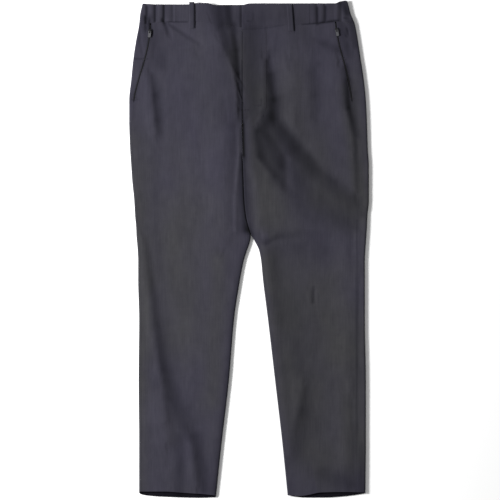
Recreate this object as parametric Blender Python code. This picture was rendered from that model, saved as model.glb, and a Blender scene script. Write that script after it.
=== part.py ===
"""Slim tapered trousers laid flat on a surface, front up.

The cloth is a wall round two open legs and an open waist. Each cut piece is an object of its own. Sides are
named by the wearer's side: the wearer's right is at -X, the wearer's left at +X, the waist at +Y, and the
garment lies on Z = 0. Sizes are in millimetres. "across" is measured from the middle of the garment towards
the wearer's left, and "down" from the highest point of the waist towards the hems.
"""

import math
from collections import namedtuple

import bmesh
import bpy
from mathutils import Matrix, Vector

MM = 0.001

# Whole garment
MIDDLE_DOWN = 498.7
PANEL_TOP = 50.0
HEM_NOMINAL = 990.0
BEND_REACH_TOP = 60.0
BEND_REACH_HEM = 90.0

# Points across a panel's parts, and the spacing of its rows
FRONT_COLUMNS = 22
WRAP_COLUMNS = 3
TURN_COLUMNS = 4
BACK_COLUMNS = 5
CURL_TURNS = (1 / 3, 2 / 3, 1)
FRONT_STEPS = (20.0, 30.0)
BACK_STEPS = (28.0, 48.0)

# Walls
CLOTH = 1.2
BAND = 1.8
HEM_CLOTH = 2.0
HEM_DEPTH = 26.0
HEM_RAMP = 3.0
SEAM_GAP = 0.3
HALF_GAP = SEAM_GAP / 2

# Height of the upper layer's face above the surface
REST_HEIGHT = 6.2
LOWEST_HEIGHT = 3.8
FOLD_BLEND = 4
BAND_STEP = 0.4
FOLD_ROUNDNESS = 1.1
EDGE_SWELL = 0.5
EDGE_SWELL_WIDTH = 14.0
FLOOR_SOFTNESS = 0.2
FOLD_PROBE = 3.2
FOLD_REACH = 3.0

# Fly
FLY_EDGE = -13.7
FLY_WIDTH = 47.0
FLY_RISE = 0.8
FLY_FOOT = 250.0
FLY_CURVE = 26.0
FLY_STEP = 5.0
SHIELD_FROM = -32.0
SHIELD_TO = 20.0
SHIELD_TOP = 62.0
SHIELD_FOOT = 236.0
SHIELD_WALL = 0.8
SHIELD_COLUMNS = 6
SHIELD_ROWS = 10
HIDDEN_GAP = 0.5

# The crotch point, and where each leg is a closed tube below it
CROTCH_DOWN = 300.0
LEG_DOWN = 344.0
LEG_SPLIT = 456.0
LEG_FREE = 512.0
CROTCH_STEP = 15.0
SPLIT_STEP = 9.0

# Waistband
UNDERLAP_END = 24.0
UNDERLAP_HEIGHT = 5.2
OVERLAP_HEIGHT = 7.4
OVERLAP_EDGE = -14.1
OVERLAP_FADE = (20.0, 62.0)
UNDERLAP_FADE = (-20.0, -14.2)
CLOSURE_ACROSS = (-9.0, 11.0)
CLOSURE_DOWN = (24.0, 48.0)
CLOSURE_RISE = 0.5
CLOSURE_EDGE = 4.5
ELASTIC_FRONT_RIGHT = -146.0
ELASTIC_FRONT_LEFT = 122.0
ELASTIC_BACK_RIGHT = -150.0
ELASTIC_BACK_LEFT = 126.0
BACK_TOP = 9.0
BACK_SEAM = 50.0
ELASTIC_TOP = 8.0
BAND_TURN = 0.08
ELASTIC_COLUMNS = 16
ELASTIC_TURNS = 5
ELASTIC_BACK_COLUMNS = 5
BAND_DROP = 0.35
LOOP_WIDTH = 10.5
LOOP_WALL = 1.2
BACK_LOOP_WALL = 1.0
BACK_LOOP_SHORTER = 8.0
BACK_LOOP_LIFT = 1.35
BACK_LOOP_ROOM = (1.0, 9.0)
FRONT_LOOP_CLEAR = 0.45
FRONT_LOOP_BOW = 0.9

# Pocket zips
SLOT_HALF = 2.1
SLOT_TOP = 52.0
SLOT_FOOT = 200.0
SLOT_START = 6.0
SLOT_END = 4.0
TAPE_HALF = 8.0
TAPE_WALL = 0.8
ZIP_ROWS = 11
ZIP_TAIL = 3.0
NEAR_ACROSS = 5.0
NEAR_DOWN = 8.0
FOLD_ROOM = 6.4
COIL_HALF = 1.4
COIL_FOOT = 0.7
COIL_DROP = 0.1
SLIDER_DOWN = 66.0
BAG_WIDTH = 96.0
BAG_TOP = 60.0
BAG_FOOT = 290.0
BAG_WALL = 0.8
BAG_TAPER = 0.35
BAG_COLUMNS = 5
BAG_STEP = 30.0

# Slider and pull tab
SLIDER_LENGTH = 9.0
SLIDER_WIDTH = 6.4
SLIDER_PLATE = 1.3
BRIDGE_WIDTH = 1.6
BRIDGE_REACH = 3.0
BRIDGE_POST = 1.1
BRIDGE_CLEAR = 1.7
BRIDGE_TOP = 2.5
PIVOT = 0.85
PULL_LENGTH = 12.0
PULL_WIDTH = 5.4
PULL_WALL = 0.9
PULL_BAR = 0.5
WINDOW_END = 3.9
WINDOW_HALF = 1.3
SLIDER_LIFT = 0.45
SLIDER_AHEAD = 6.0

Section = namedtuple(
    "Section", "down right_outer right_inner left_inner left_outer right_seam left_seam"
)
# The outline and the seams, a row for each section from the waist to the hems
SECTIONS = [
    Section(0, -211, -14, -13.4, 195, -196, 172),
    Section(14, -215, -14, -13.4, 200, -196, 172),
    Section(28, -218, -14, -13.4, 204, -196, 172),
    Section(48, -220, -14, -13.4, 212, -197, 173),
    Section(80, -226, -14, -13.4, 218, -200, 178),
    Section(120, -232, -14, -13.4, 224, -209, 189),
    Section(160, -236, -14, -13.4, 230, -221, 199),
    Section(200, -240, -14, -13.4, 234, -230, 206),
    Section(240, -240, -14, -13.4, 236, -232, 212),
    Section(300, -238, -14, -13.4, 238, -232, 218),
    Section(330, -236, -12.8, -12.3, 240, -231, 219.2),
    Section(360, -234, -11.6, -11.1, 240, -229, 219.6),
    Section(400, -230, -10, -9.5, 240, -225, 219.6),
    Section(434, -228, -6.2, -5.7, 237, -223, 219.6),
    Section(456, -226, -0.6, -0.1, 236, -221, 219.4),
    Section(470, -225.5, 3.6, 4.6, 235, -220.5, 219.2),
    Section(486, -224, 1.2, 13.4, 234, -219, 219),
    Section(500, -223, -3.6, 20, 233, -218, 219),
    Section(520, -222, -10, 24, 232, -217, 219),
    Section(560, -222, -18, 28, 232, -217, 219),
    Section(640, -220, -30, 38, 232, -215, 219),
    Section(760, -221, -40, 52, 234, -216, 220),
    Section(880, -220, -54, 66, 234, -215, 220),
    Section(997, -220, -67, 78, 233, -215, 219),
]

Line = namedtuple("Line", "across down")
# The waistband's upper edge
TOP_LINE = [
    Line(-220, 12),
    Line(-212, 7),
    Line(-198, 8.5),
    Line(-122, 9),
    Line(-104, 6.4),
    Line(-84, 6.4),
    Line(-70, 10),
    Line(-14, 10),
    Line(2, 6.8),
    Line(172, 6.8),
    Line(183, 2.6),
    Line(194, 1.4),
    Line(204, 12),
]
# The seam between the waistband and each front panel; the fly's lap sits a little lower
SEAM_RIGHT = [
    Line(-222, 50),
    Line(-196, 46),
    Line(-168, 44),
    Line(-114, 44),
    Line(-60, 49),
    Line(-14, 54.5),
    Line(24, 56),
]
SEAM_LEFT = [
    Line(-14, 59),
    Line(6, 60),
    Line(20, 56.5),
    Line(40, 51.5),
    Line(108, 49.5),
    Line(140, 46.5),
    Line(178, 43),
    Line(214, 50),
]
# The lower edges of the legs
HEM_FRONT = [
    Line(-222, 983),
    Line(-168, 983),
    Line(-138, 985),
    Line(-74, 990),
    Line(-64, 992),
    Line(78, 991),
    Line(102, 992),
    Line(122, 989),
    Line(142, 985),
    Line(182, 984),
    Line(234, 985),
]
HEM_BACK = [
    Line(-222, 988),
    Line(-208, 991),
    Line(-178, 993.6),
    Line(-98, 996),
    Line(-66, 995),
    Line(78, 991),
    Line(92, 994),
    Line(112, 995.6),
    Line(152, 995.6),
    Line(192, 993),
    Line(236, 987),
]

Fold = namedtuple("Fold", "across down to_across to_down rise left right")
# The creases and swells of the upper layer, a soft trough where rise is negative. left and right are the widths of
# the slopes on the wearer's right and left of the fold's line, so a small one makes a steep slope.
FOLDS = [
    # swell of the wearer's right thigh, falling steeply to the fly
    Fold(-88, 12, -72, 56, 3.2, 44, 20),
    Fold(-72, 56, -58, 90, 3.8, 46, 17),
    Fold(-58, 90, -42, 118, 4.0, 46, 12),
    Fold(-42, 118, -31, 150, 3.8, 46, 8),
    Fold(-31, 150, -25, 200, 3.2, 44, 6),
    Fold(-25, 200, -28, 236, 2.6, 42, 8),
    Fold(-28, 236, -44, 300, 2.4, 40, 16),
    Fold(-44, 300, -46, 440, 2.4, 40, 20),
    Fold(-46, 440, -50, 480, 1.8, 36, 20),
    # valley beside the fly
    Fold(-27, 70, -21, 130, -1.6, 7, 5),
    Fold(-21, 130, -16, 240, -1.4, 5, 4),
    # side of the wearer's right hip, and the fold that runs down that leg
    Fold(-201, 154, -197, 200, 2.6, 14, 9),
    Fold(-197, 200, -188, 264, 2.4, 14, 9),
    Fold(-214, 480, -206, 540, 2.2, 14, 10),
    Fold(-206, 540, -196, 600, 2.4, 16, 10),
    Fold(-196, 600, -187, 690, 2.6, 18, 11),
    Fold(-187, 690, -176, 760, 2.6, 20, 11),
    Fold(-176, 760, -167, 840, 2.6, 22, 10),
    Fold(-167, 840, -166, 880, 1.8, 22, 12),
    Fold(-150, 800, -128, 880, -1.2, 18, 26),
    Fold(-120, 870, -112, 912, 2.2, 14, 8),
    Fold(-112, 912, -106, 972, 2.4, 16, 8),
    # edge of the wearer's left thigh beside the crotch
    Fold(3, 244, 6, 330, 1.9, 7, 9),
    Fold(6, 330, 16, 380, 1.8, 8, 14),
    Fold(16, 380, 24, 450, 1.8, 11, 30),
    # fly panel, and the valley beyond its stitching
    Fold(26, 124, 28, 214, 1.4, 26, 7),
    Fold(40, 122, 45, 190, -2.2, 5, 11),
    Fold(45, 190, 50, 240, -2.6, 7, 14),
    # swells of the wearer's left hip
    Fold(86, 130, 88, 262, 2.6, 20, 16),
    Fold(133, 146, 136, 232, -1.6, 12, 13),
    Fold(180, 140, 188, 200, 2.6, 26, 9),
    Fold(188, 200, 198, 240, 2.6, 26, 8),
    Fold(198, 240, 208, 300, 2.2, 26, 8),
    Fold(208, 300, 212, 380, 1.4, 20, 8),
    # drag line from the fly's foot out across the thigh
    Fold(58, 234, 82, 266, -2.6, 14, 11),
    Fold(82, 266, 106, 294, -2.6, 20, 12),
    Fold(106, 294, 126, 318, -2.6, 24, 12),
    Fold(126, 318, 142, 342, -2.6, 24, 12),
    Fold(142, 342, 174, 368, -2.4, 24, 12),
    Fold(174, 368, 218, 408, -2.0, 22, 12),
    Fold(30, 272, 58, 308, 1.6, 9, 9),
    Fold(74, 318, 76, 372, -1.8, 9, 9),
    Fold(38, 488, 60, 478, -1.2, 9, 9),
    Fold(60, 478, 102, 472, -1.2, 9, 9),
    # wearer's left leg
    Fold(32, 492, 44, 600, 1.6, 10, 13),
    Fold(44, 600, 60, 732, 1.6, 12, 14),
    Fold(60, 732, 82, 900, 1.4, 12, 14),
    Fold(106, 776, 98, 824, 1.8, 16, 9),
    Fold(98, 824, 82, 880, 1.4, 16, 10),
    Fold(130, 584, 131, 604, -1.0, 5, 5),
    Fold(206, 800, 210, 980, -1.4, 12, 6),
    Fold(146, 950, 200, 964, -1.0, 13, 13),
]

Gather = namedtuple("Gather", "across rise width")
# The puckers of the elastic waist sections, each running down the section
GATHERS = [
    Gather(-204, -0.9, 4.5),
    Gather(-195.5, 0.5, 4),
    Gather(-187, -1.0, 4.5),
    Gather(-178.5, 0.5, 4),
    Gather(-169.5, -1.2, 4.5),
    Gather(-160.5, 0.5, 4),
    Gather(-152, -0.7, 4),
    Gather(128, 0.3, 4),
    Gather(136.5, -0.9, 4.5),
    Gather(144.5, 0.5, 4),
    Gather(152, -1.0, 4.5),
    Gather(162, 0.4, 5),
    Gather(174, 0.6, 5),
    Gather(184, -1.0, 4.5),
    Gather(192, 0.4, 4),
]

Loop = namedtuple("Loop", "name across_top across_foot top foot")
FRONT_LOOPS = [
    Loop("belt_loop_front_right", -114.2, -113.8, 4.6, 57),
    Loop("belt_loop_front_left", 80.5, 84.5, 8.4, 62),
]
BACK_LOOPS = [
    Loop("belt_loop_back_right", -112, -112, 10, 56),
    Loop("belt_loop_back_centre", -6, -6, 10, 56),
    Loop("belt_loop_back_left", 84, 84, 10, 56),
]

Colour = namedtuple("Colour", "name rgb roughness metallic")
CLOTH_COLOUR = Colour("slate_indigo_twill", (0.048, 0.045, 0.058), 0.92, 0.0)
BACK_COLOUR = Colour("slate_indigo_twill_back", (0.046, 0.044, 0.056), 0.92, 0.0)
BAND_COLOUR = Colour("slate_indigo_waistband", (0.05, 0.047, 0.06), 0.9, 0.0)
TAPE_COLOUR = Colour("black_zip", (0.012, 0.012, 0.014), 0.6, 0.0)
METAL_COLOUR = Colour("black_nickel", (0.06, 0.06, 0.066), 0.35, 1.0)
BAG_COLOUR = Colour("pocket_cloth", (0.03, 0.03, 0.036), 0.95, 0.0)


# Reading the tables


def smooth_step(low, high, value):
    """Goes from 0 at low to 1 at high, level at both ends."""
    t = min(1.0, max(0.0, (value - low) / (high - low)))
    return t * t * (3 - 2 * t)


def mix(a, b, t):
    return a + (b - a) * t


def read_curve(rows, key, value, at):
    """Reads a smooth curve through the rows of a table, where key rises from row to row."""
    keys = [getattr(row, key) for row in rows]
    values = [getattr(row, value) for row in rows]
    if at <= keys[0]:
        return values[0]
    if at >= keys[-1]:
        return values[-1]
    i = next(n for n in range(len(keys) - 1) if at <= keys[n + 1])
    span = keys[i + 1] - keys[i]
    rise = (values[i + 1] - values[i]) / span

    def slope(n):
        if n == 0 or n == len(keys) - 1:
            return rise
        before = (values[n] - values[n - 1]) / (keys[n] - keys[n - 1])
        after = (values[n + 1] - values[n]) / (keys[n + 1] - keys[n])
        if before * after <= 0:
            return 0.0
        return 2 * before * after / (before + after)

    t = (at - keys[i]) / span
    start = (1 + 2 * t) * (1 - t) ** 2 * values[i] + t * (1 - t) ** 2 * span * slope(i)
    end = t * t * (3 - 2 * t) * values[i + 1] + t * t * (t - 1) * span * slope(i + 1)
    return start + end


def edge(name, down):
    return read_curve(SECTIONS, "down", name, down)


def line(rows, across):
    return read_curve(rows, "across", "down", across)


def place(across, down, height):
    """Turns garment millimetres into metres."""
    return Vector((across * MM, (MIDDLE_DOWN - down) * MM, height * MM))


# Height of the upper layer


def fold_distance(fold, across, down):
    """Distance from a fold's line, in widths of the slope on that side of it."""
    run = fold.to_across - fold.across
    fall = fold.to_down - fold.down
    along = ((across - fold.across) * run + (down - fold.down) * fall) / (run * run + fall * fall)
    along = min(1.0, max(0.0, along))
    beside = across - fold.across - along * run
    below = down - fold.down - along * fall
    width = fold.right if beside * fall - below * run > 0 else fold.left
    return math.hypot(beside, below) / width


def cloth_height(across, down):
    """Height of the upper face of the front cloth, without the fly's extra layers."""
    height = REST_HEIGHT
    for outer in ("right_outer", "left_outer"):
        inset = abs(across - edge(outer, down))
        height += EDGE_SWELL * math.exp(-((inset / EDGE_SWELL_WIDTH) ** 2))
    ridges = 0.0
    troughs = 0.0
    for fold in FOLDS:
        apart = fold_distance(fold, across, down)
        if apart > FOLD_REACH:
            continue
        share = (abs(fold.rise) * math.exp(-apart * apart)) ** FOLD_BLEND
        if fold.rise > 0:
            ridges += share
        else:
            troughs += share
    height += ridges ** (1 / FOLD_BLEND) - troughs ** (1 / FOLD_BLEND)
    room = height - LOWEST_HEIGHT
    return LOWEST_HEIGHT + 0.5 * (room + math.sqrt(room * room + FLOOR_SOFTNESS))


def fly_height(across, down):
    """Height of the wearer's left front, raised where the fly's layers lie under it."""
    fly_side = FLY_EDGE + FLY_WIDTH
    foot = FLY_FOOT - FLY_CURVE * smooth_step(FLY_EDGE + 8, fly_side, across)
    side = 1 - smooth_step(fly_side - FLY_STEP, fly_side + FLY_STEP, across)
    ended = smooth_step(foot - 2 * FLY_STEP, foot + FLY_STEP, down)
    return cloth_height(across, down) + FLY_RISE * side * (1 - ended)


def band_height(across, down):
    """Height of the waistband's upper face, with the puckers of its elastic sections."""
    height = cloth_height(across, down) + BAND_STEP
    for gather in GATHERS:
        height += gather.rise * math.exp(-(((across - gather.across) / gather.width) ** 2))
    return height


def overlap_height(across, down):
    """Height of the wearer's left band, whose end lies over the underlap and hides the closure."""
    height = mix(OVERLAP_HEIGHT, band_height(across, down), smooth_step(*OVERLAP_FADE, across))
    closure = 1.0
    for (low, high), at in ((CLOSURE_ACROSS, across), (CLOSURE_DOWN, down)):
        closure *= smooth_step(low, low + CLOSURE_EDGE, at) * (1 - smooth_step(high - CLOSURE_EDGE, high, at))
    return height + CLOSURE_RISE * closure


def underlap_height(across, down):
    """Height of the wearer's right band, which steps down to pass under the other end."""
    return mix(band_height(across, down), UNDERLAP_HEIGHT, smooth_step(*UNDERLAP_FADE, across))


def back_lift(across):
    """Lift of the back waistband's lower face where a belt loop lies under it."""
    apart = min(abs(across - loop.across_top) for loop in BACK_LOOPS)
    near, far = BACK_LOOP_ROOM
    return BACK_LOOP_LIFT * (1 - smooth_step(LOOP_WIDTH / 2 + near, LOOP_WIDTH / 2 + far, apart))


# Sections across a leg


Leg = namedtuple("Leg", "outer inner seam sign height waist")
LEGS = {
    "right": Leg("right_outer", "right_inner", "right_seam", 1, cloth_height, SEAM_RIGHT),
    "left": Leg("left_outer", "left_inner", "left_seam", -1, fly_height, SEAM_LEFT),
}


def tube_share(down):
    """0 above the crotch, where a panel's inner edge lies flat, to 1 where the leg is a tube."""
    return smooth_step(CROTCH_DOWN, LEG_DOWN, down)


def slot_half(down):
    """Half the width of the pocket slit beside the seam line, or half a seam's gap."""
    opened = smooth_step(SLOT_TOP - SLOT_START, SLOT_TOP, down)
    ended = smooth_step(SLOT_FOOT, SLOT_FOOT + SLOT_END, down)
    return mix(HALF_GAP, SLOT_HALF, opened * (1 - ended))


def bend(leg, across, down, upper):
    """Shifts a level row so that the first follows the waist seam and the last the hem line."""
    seam = mix(BACK_SEAM, line(leg.waist, across), upper)
    hem = mix(line(HEM_BACK, across), line(HEM_FRONT, across), upper)
    near_top = 1 - smooth_step(PANEL_TOP, PANEL_TOP + BEND_REACH_TOP, down)
    near_hem = smooth_step(HEM_NOMINAL - BEND_REACH_HEM, HEM_NOMINAL, down)
    return down + (seam + HALF_GAP - PANEL_TOP) * near_top + (hem - HEM_NOMINAL) * near_hem


def wall(down):
    """The cloth's wall, doubled by the turned hem."""
    hem_top = HEM_NOMINAL - HEM_DEPTH
    return mix(CLOTH, HEM_CLOTH, smooth_step(hem_top - HEM_RAMP, hem_top, down))


def spread(start, end, count):
    return [mix(start, end, n / count) for n in range(count + 1)]


class Point:
    """A point of a section: inset from the outer fold, height, and 1 on the upper layer to 0 below."""

    def __init__(self, inset, height, upper):
        self.inset = inset
        self.height = height
        self.upper = upper


def fold_sizes(leg, down, inset_of_edge, direction):
    """Half height and depth of the rounded fold whose outermost point is at inset_of_edge."""
    across = edge(leg.outer, down) + leg.sign * (inset_of_edge + direction * FOLD_PROBE)
    half = leg.height(across, down) / 2
    return half, half * FOLD_ROUNDNESS


def front_section(leg, down):
    outer = edge(leg.outer, down)
    seam = abs(edge(leg.seam, down) - outer) + slot_half(down)
    width = abs(edge(leg.inner, down) - outer) - HALF_GAP
    half, depth = fold_sizes(leg, down, width, -1)
    share = tube_share(down)
    points = []
    for inset in spread(seam, width - depth, FRONT_COLUMNS):
        points.append(Point(inset, leg.height(outer + leg.sign * inset, down), 1))
    for turn in CURL_TURNS:
        inset = width - depth + depth * mix(turn, math.sin(turn * math.pi / 2), share)
        level = leg.height(outer + leg.sign * inset, down)
        middle = half + HALF_GAP
        curled = middle + (points[FRONT_COLUMNS].height - middle) * math.cos(turn * math.pi / 2)
        points.append(Point(inset, mix(level, curled, share), 1))
    return points


def back_section(leg, down):
    outer = edge(leg.outer, down)
    seam = abs(edge(leg.seam, down) - outer) - slot_half(down)
    width = abs(edge(leg.inner, down) - outer) - HALF_GAP
    inner_half, inner_depth = fold_sizes(leg, down, width, -1)
    _, depth = fold_sizes(leg, down, 0, 1)
    depth = min(depth, seam - 0.4)
    share = tube_share(down)
    points = []
    for inset in spread(seam, depth, WRAP_COLUMNS):
        points.append(Point(inset, leg.height(outer + leg.sign * inset, down), 1))
    middle = points[-1].height / 2
    for step in range(1, TURN_COLUMNS + 1):
        angle = math.pi / 2 - math.pi * step / TURN_COLUMNS
        points.append(
            Point(
                depth * (1 - math.cos(angle)),
                middle + middle * math.sin(angle),
                (1 + math.sin(angle)) / 2,
            )
        )
    for inset in spread(depth, width - inner_depth, BACK_COLUMNS)[1:]:
        points.append(Point(inset, 0, 0))
    for turn in CURL_TURNS:
        inset = width - inner_depth + inner_depth * mix(turn, math.sin(turn * math.pi / 2), share)
        curled = (inner_half - HALF_GAP) * (1 - math.cos(turn * math.pi / 2))
        points.append(Point(inset, curled * share, 0))
    return points


def inside(points, thickness, turn, share=0.0):
    """The wall's inner points: each moved square to the section by its thickness.

    The last point's wall stands upright where the panel lies flat and lies level where it ends half way
    round the inner fold, so that the front and the back meet there face to face.
    """
    moved = []
    last = len(points) - 1
    for n, point in enumerate(points):
        before = points[max(0, n - 1)]
        after = points[min(last, n + 1)]
        run = after.inset - before.inset
        rise = after.height - before.height
        length = math.hypot(run, rise)
        moved.append(
            Point(
                point.inset - turn * rise / length * thickness,
                point.height + turn * run / length * thickness,
                point.upper,
            )
        )
    if share > 0:
        lean = share * math.pi / 2
        end = points[last]
        moved[last] = Point(
            end.inset - math.sin(lean) * thickness,
            end.height + turn * math.cos(lean) * thickness,
            end.upper,
        )
    return moved


def rows_between(start, end, step):
    return spread(start, end, max(1, round((end - start) / step)))


def stations(hip_step, leg_step):
    """Rows of a panel: closer at the hips, wider down the leg, with one where each detail begins."""
    hem_top = HEM_NOMINAL - HEM_DEPTH
    rows = rows_between(PANEL_TOP, SLOT_FOOT, hip_step)
    rows += rows_between(SLOT_FOOT + SLOT_END, CROTCH_DOWN, hip_step)
    rows += rows_between(CROTCH_DOWN, LEG_DOWN, CROTCH_STEP)[1:]
    rows += rows_between(LEG_DOWN, LEG_SPLIT, hip_step)[1:]
    rows += rows_between(LEG_SPLIT, LEG_FREE, SPLIT_STEP)[1:]
    rows += rows_between(LEG_FREE, hem_top - HEM_RAMP, leg_step)[1:]
    return rows + [hem_top, HEM_NOMINAL]


def panel(name, side, section, turn, rows, colour):
    leg = LEGS[side]
    outer_rows = []
    inner_rows = []
    for down in rows:
        points = section(leg, down)
        start = edge(leg.outer, down)
        within = inside(points, wall(down), turn, tube_share(down))
        for target, ring in ((outer_rows, points), (inner_rows, within)):
            row = []
            for base, point in zip(points, ring):
                across = start + leg.sign * point.inset
                level = bend(leg, start + leg.sign * base.inset, down, base.upper)
                row.append(place(across, level, point.height))
            target.append(row)
    return shell(name, outer_rows, inner_rows, colour)


# Making objects


def material(colour):
    made = bpy.data.materials.get(colour.name)
    if made:
        return made
    made = bpy.data.materials.new(colour.name)
    made.use_nodes = True
    shader = made.node_tree.nodes["Principled BSDF"]
    shader.inputs["Base Color"].default_value = (*colour.rgb, 1)
    shader.inputs["Roughness"].default_value = colour.roughness
    shader.inputs["Metallic"].default_value = colour.metallic
    return made


def finish(name, mesh_data, colour):
    """Makes the object of a bmesh, with its normals turned out."""
    bmesh.ops.recalc_face_normals(mesh_data, faces=mesh_data.faces)
    mesh = bpy.data.meshes.new(name)
    mesh_data.to_mesh(mesh)
    mesh_data.free()
    mesh.polygons.foreach_set("use_smooth", [True] * len(mesh.polygons))
    mesh.set_sharp_from_angle(angle=math.radians(40))
    made = bpy.data.objects.new(name, mesh)
    bpy.context.collection.objects.link(made)
    made.data.materials.append(material(colour))
    return made


def shell(name, outer_rows, inner_rows, colour):
    """A closed wall between two grids of points of the same size."""
    mesh_data = bmesh.new()
    outer = [[mesh_data.verts.new(p) for p in row] for row in outer_rows]
    inner = [[mesh_data.verts.new(p) for p in row] for row in inner_rows]
    last_row = len(outer) - 1
    last = len(outer[0]) - 1
    for r in range(last_row):
        for c in range(last):
            for grid in (outer, inner):
                mesh_data.faces.new((grid[r][c], grid[r][c + 1], grid[r + 1][c + 1], grid[r + 1][c]))
    for r in range(last_row):
        for c in (0, last):
            mesh_data.faces.new((outer[r][c], outer[r + 1][c], inner[r + 1][c], inner[r][c]))
    for c in range(last):
        for r in (0, last_row):
            mesh_data.faces.new((outer[r][c], outer[r][c + 1], inner[r][c + 1], inner[r][c]))
    return finish(name, mesh_data, colour)


# Waistband pieces


def band_crown(share):
    """The band's edges are turned in, so its face drops a little at them."""
    return -BAND_DROP * (1 - smooth_step(0, BAND_TURN, min(share, 1 - share)))


BAND_SHARES = (0, BAND_TURN, 0.36, 0.64, 1 - BAND_TURN, 1)


def front_band(name, start, end, count, height, seam):
    outer_rows = []
    inner_rows = []
    for share in BAND_SHARES:
        outer = []
        inner = []
        for across in spread(start, end, count):
            down = mix(line(TOP_LINE, across), line(seam, across) - HALF_GAP, share)
            level = height(across, down) + band_crown(share)
            outer.append(place(across, down, level))
            inner.append(place(across, down, height(across, down) - BAND))
        outer_rows.append(outer)
        inner_rows.append(inner)
    return shell(name, outer_rows, inner_rows, BAND_COLOUR)


def back_band(name, start, end):
    """The back waistband, with closer points beside each belt loop that it lies over."""
    acrosses = {start, end}
    for loop in BACK_LOOPS:
        for offset in (-14.5, -10.5, -6.5, 6.5, 10.5, 14.5):
            acrosses.add(loop.across_top + offset)
    acrosses = sorted(acrosses)
    outer_rows = []
    inner_rows = []
    for share in BAND_SHARES:
        outer = []
        inner = []
        for across in acrosses:
            down = mix(BACK_TOP, BACK_SEAM - HALF_GAP, share)
            lift = back_lift(across)
            outer.append(place(across, down, lift))
            inner.append(place(across, down, lift + BAND + band_crown(share)))
        outer_rows.append(outer)
        inner_rows.append(inner)
    return shell(name, outer_rows, inner_rows, BAND_COLOUR)


def elastic_section(leg, front_end, back_end, down):
    """The elastic section's outer points: over the front, round the side fold and back below."""
    outer = edge(leg.outer, down)
    sign = leg.sign
    front_inset = abs(front_end - outer) - HALF_GAP
    back_inset = abs(back_end - outer) - HALF_GAP
    half = band_height(outer + sign * FOLD_PROBE, down) / 2
    depth = half * FOLD_ROUNDNESS
    points = []
    for inset in spread(front_inset, depth, ELASTIC_COLUMNS):
        points.append(Point(inset, band_height(outer + sign * inset, down), 1))
    middle = points[-1].height / 2
    for step in range(1, ELASTIC_TURNS + 1):
        angle = math.pi / 2 - math.pi * step / ELASTIC_TURNS
        points.append(
            Point(
                depth * (1 - math.cos(angle)),
                middle + middle * math.sin(angle),
                (1 + math.sin(angle)) / 2,
            )
        )
    for inset in spread(depth, back_inset, ELASTIC_BACK_COLUMNS)[1:]:
        points.append(Point(inset, 0, 0))
    return points


def elastic(side, front_end, back_end):
    leg = LEGS[side]
    sign = leg.sign
    outer_rows = []
    inner_rows = []
    for share in BAND_SHARES:
        nominal = mix(ELASTIC_TOP, PANEL_TOP - HALF_GAP, share)
        points = elastic_section(leg, front_end, back_end, nominal)
        start = edge(leg.outer, nominal)
        for target, ring in ((outer_rows, points), (inner_rows, inside(points, BAND, 1))):
            row = []
            for base, point in zip(points, ring):
                across = start + sign * base.inset
                top = mix(BACK_TOP, line(TOP_LINE, across), base.upper)
                foot = mix(BACK_SEAM, line(leg.waist, across), base.upper) - HALF_GAP
                row.append(place(start + sign * point.inset, mix(top, foot, share), point.height))
            target.append(row)
    return shell("side_elastic_" + side, outer_rows, inner_rows, BAND_COLOUR)


# Pieces that lie on or under the panels


def front_loop(loop):
    """A belt loop over the band, a little bowed, its top standing just above the band's edge."""
    outer_rows = []
    inner_rows = []
    for share in (0, 0.04, 0.12, 0.3, 0.5, 0.7, 0.88, 0.96, 1):
        down = mix(loop.top, loop.foot, share)
        middle = mix(loop.across_top, loop.across_foot, share)
        bow = FRONT_LOOP_BOW * math.sin(math.pi * share) ** 0.7
        base = band_height(middle, down)
        outer = []
        inner = []
        for offset in (-0.5, -0.42, 0, 0.42, 0.5):
            rounding = 0.25 if abs(offset) == 0.5 else 0.0
            bottom = base + FRONT_LOOP_CLEAR + bow
            outer.append(place(middle + offset * LOOP_WIDTH, down, bottom + LOOP_WALL - rounding))
            inner.append(place(middle + offset * LOOP_WIDTH, down, bottom))
        outer_rows.append(outer)
        inner_rows.append(inner)
    return shell(loop.name, outer_rows, inner_rows, BAND_COLOUR)


def back_loop(loop):
    """A plain belt loop flat under the back waistband."""
    outer_rows = []
    inner_rows = []
    for share in (0, 0.5, 1):
        down = mix(loop.top, loop.foot - BACK_LOOP_SHORTER, share)
        outer_rows.append(
            [place(loop.across_top + offset * LOOP_WIDTH, down, 0) for offset in (-0.5, 0, 0.5)]
        )
        inner_rows.append(
            [
                place(loop.across_top + offset * LOOP_WIDTH, down, BACK_LOOP_WALL)
                for offset in (-0.5, 0, 0.5)
            ]
        )
    return shell(loop.name, outer_rows, inner_rows, BAND_COLOUR)


def under_sheet(name, leg, acrosses, downs, top_of, thickness, colour):
    """A sheet under the front, its upper face given by top_of(across, down)."""
    outer_rows = []
    inner_rows = []
    for down in downs:
        outer = []
        inner = []
        for across in acrosses(down):
            top = top_of(across, down)
            level_down = bend(leg, across, down, 1)
            outer.append(place(across, level_down, top))
            inner.append(place(across, level_down, top - thickness))
        outer_rows.append(outer)
        inner_rows.append(inner)
    return shell(name, outer_rows, inner_rows, colour)


def lowest_near(height, across, down):
    """The lowest that the cloth gets close by, so that a hidden strip clears its underside."""
    around = ((0, 0), (-NEAR_ACROSS, 0), (NEAR_ACROSS, 0), (0, -NEAR_DOWN), (0, NEAR_DOWN))
    return min(height(across + x, down + y) for x, y in around)


def zip_rows():
    return spread(SLOT_TOP, SLOT_FOOT - 1, ZIP_ROWS) + [SLOT_FOOT, SLOT_FOOT + SLOT_END + ZIP_TAIL]


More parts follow.
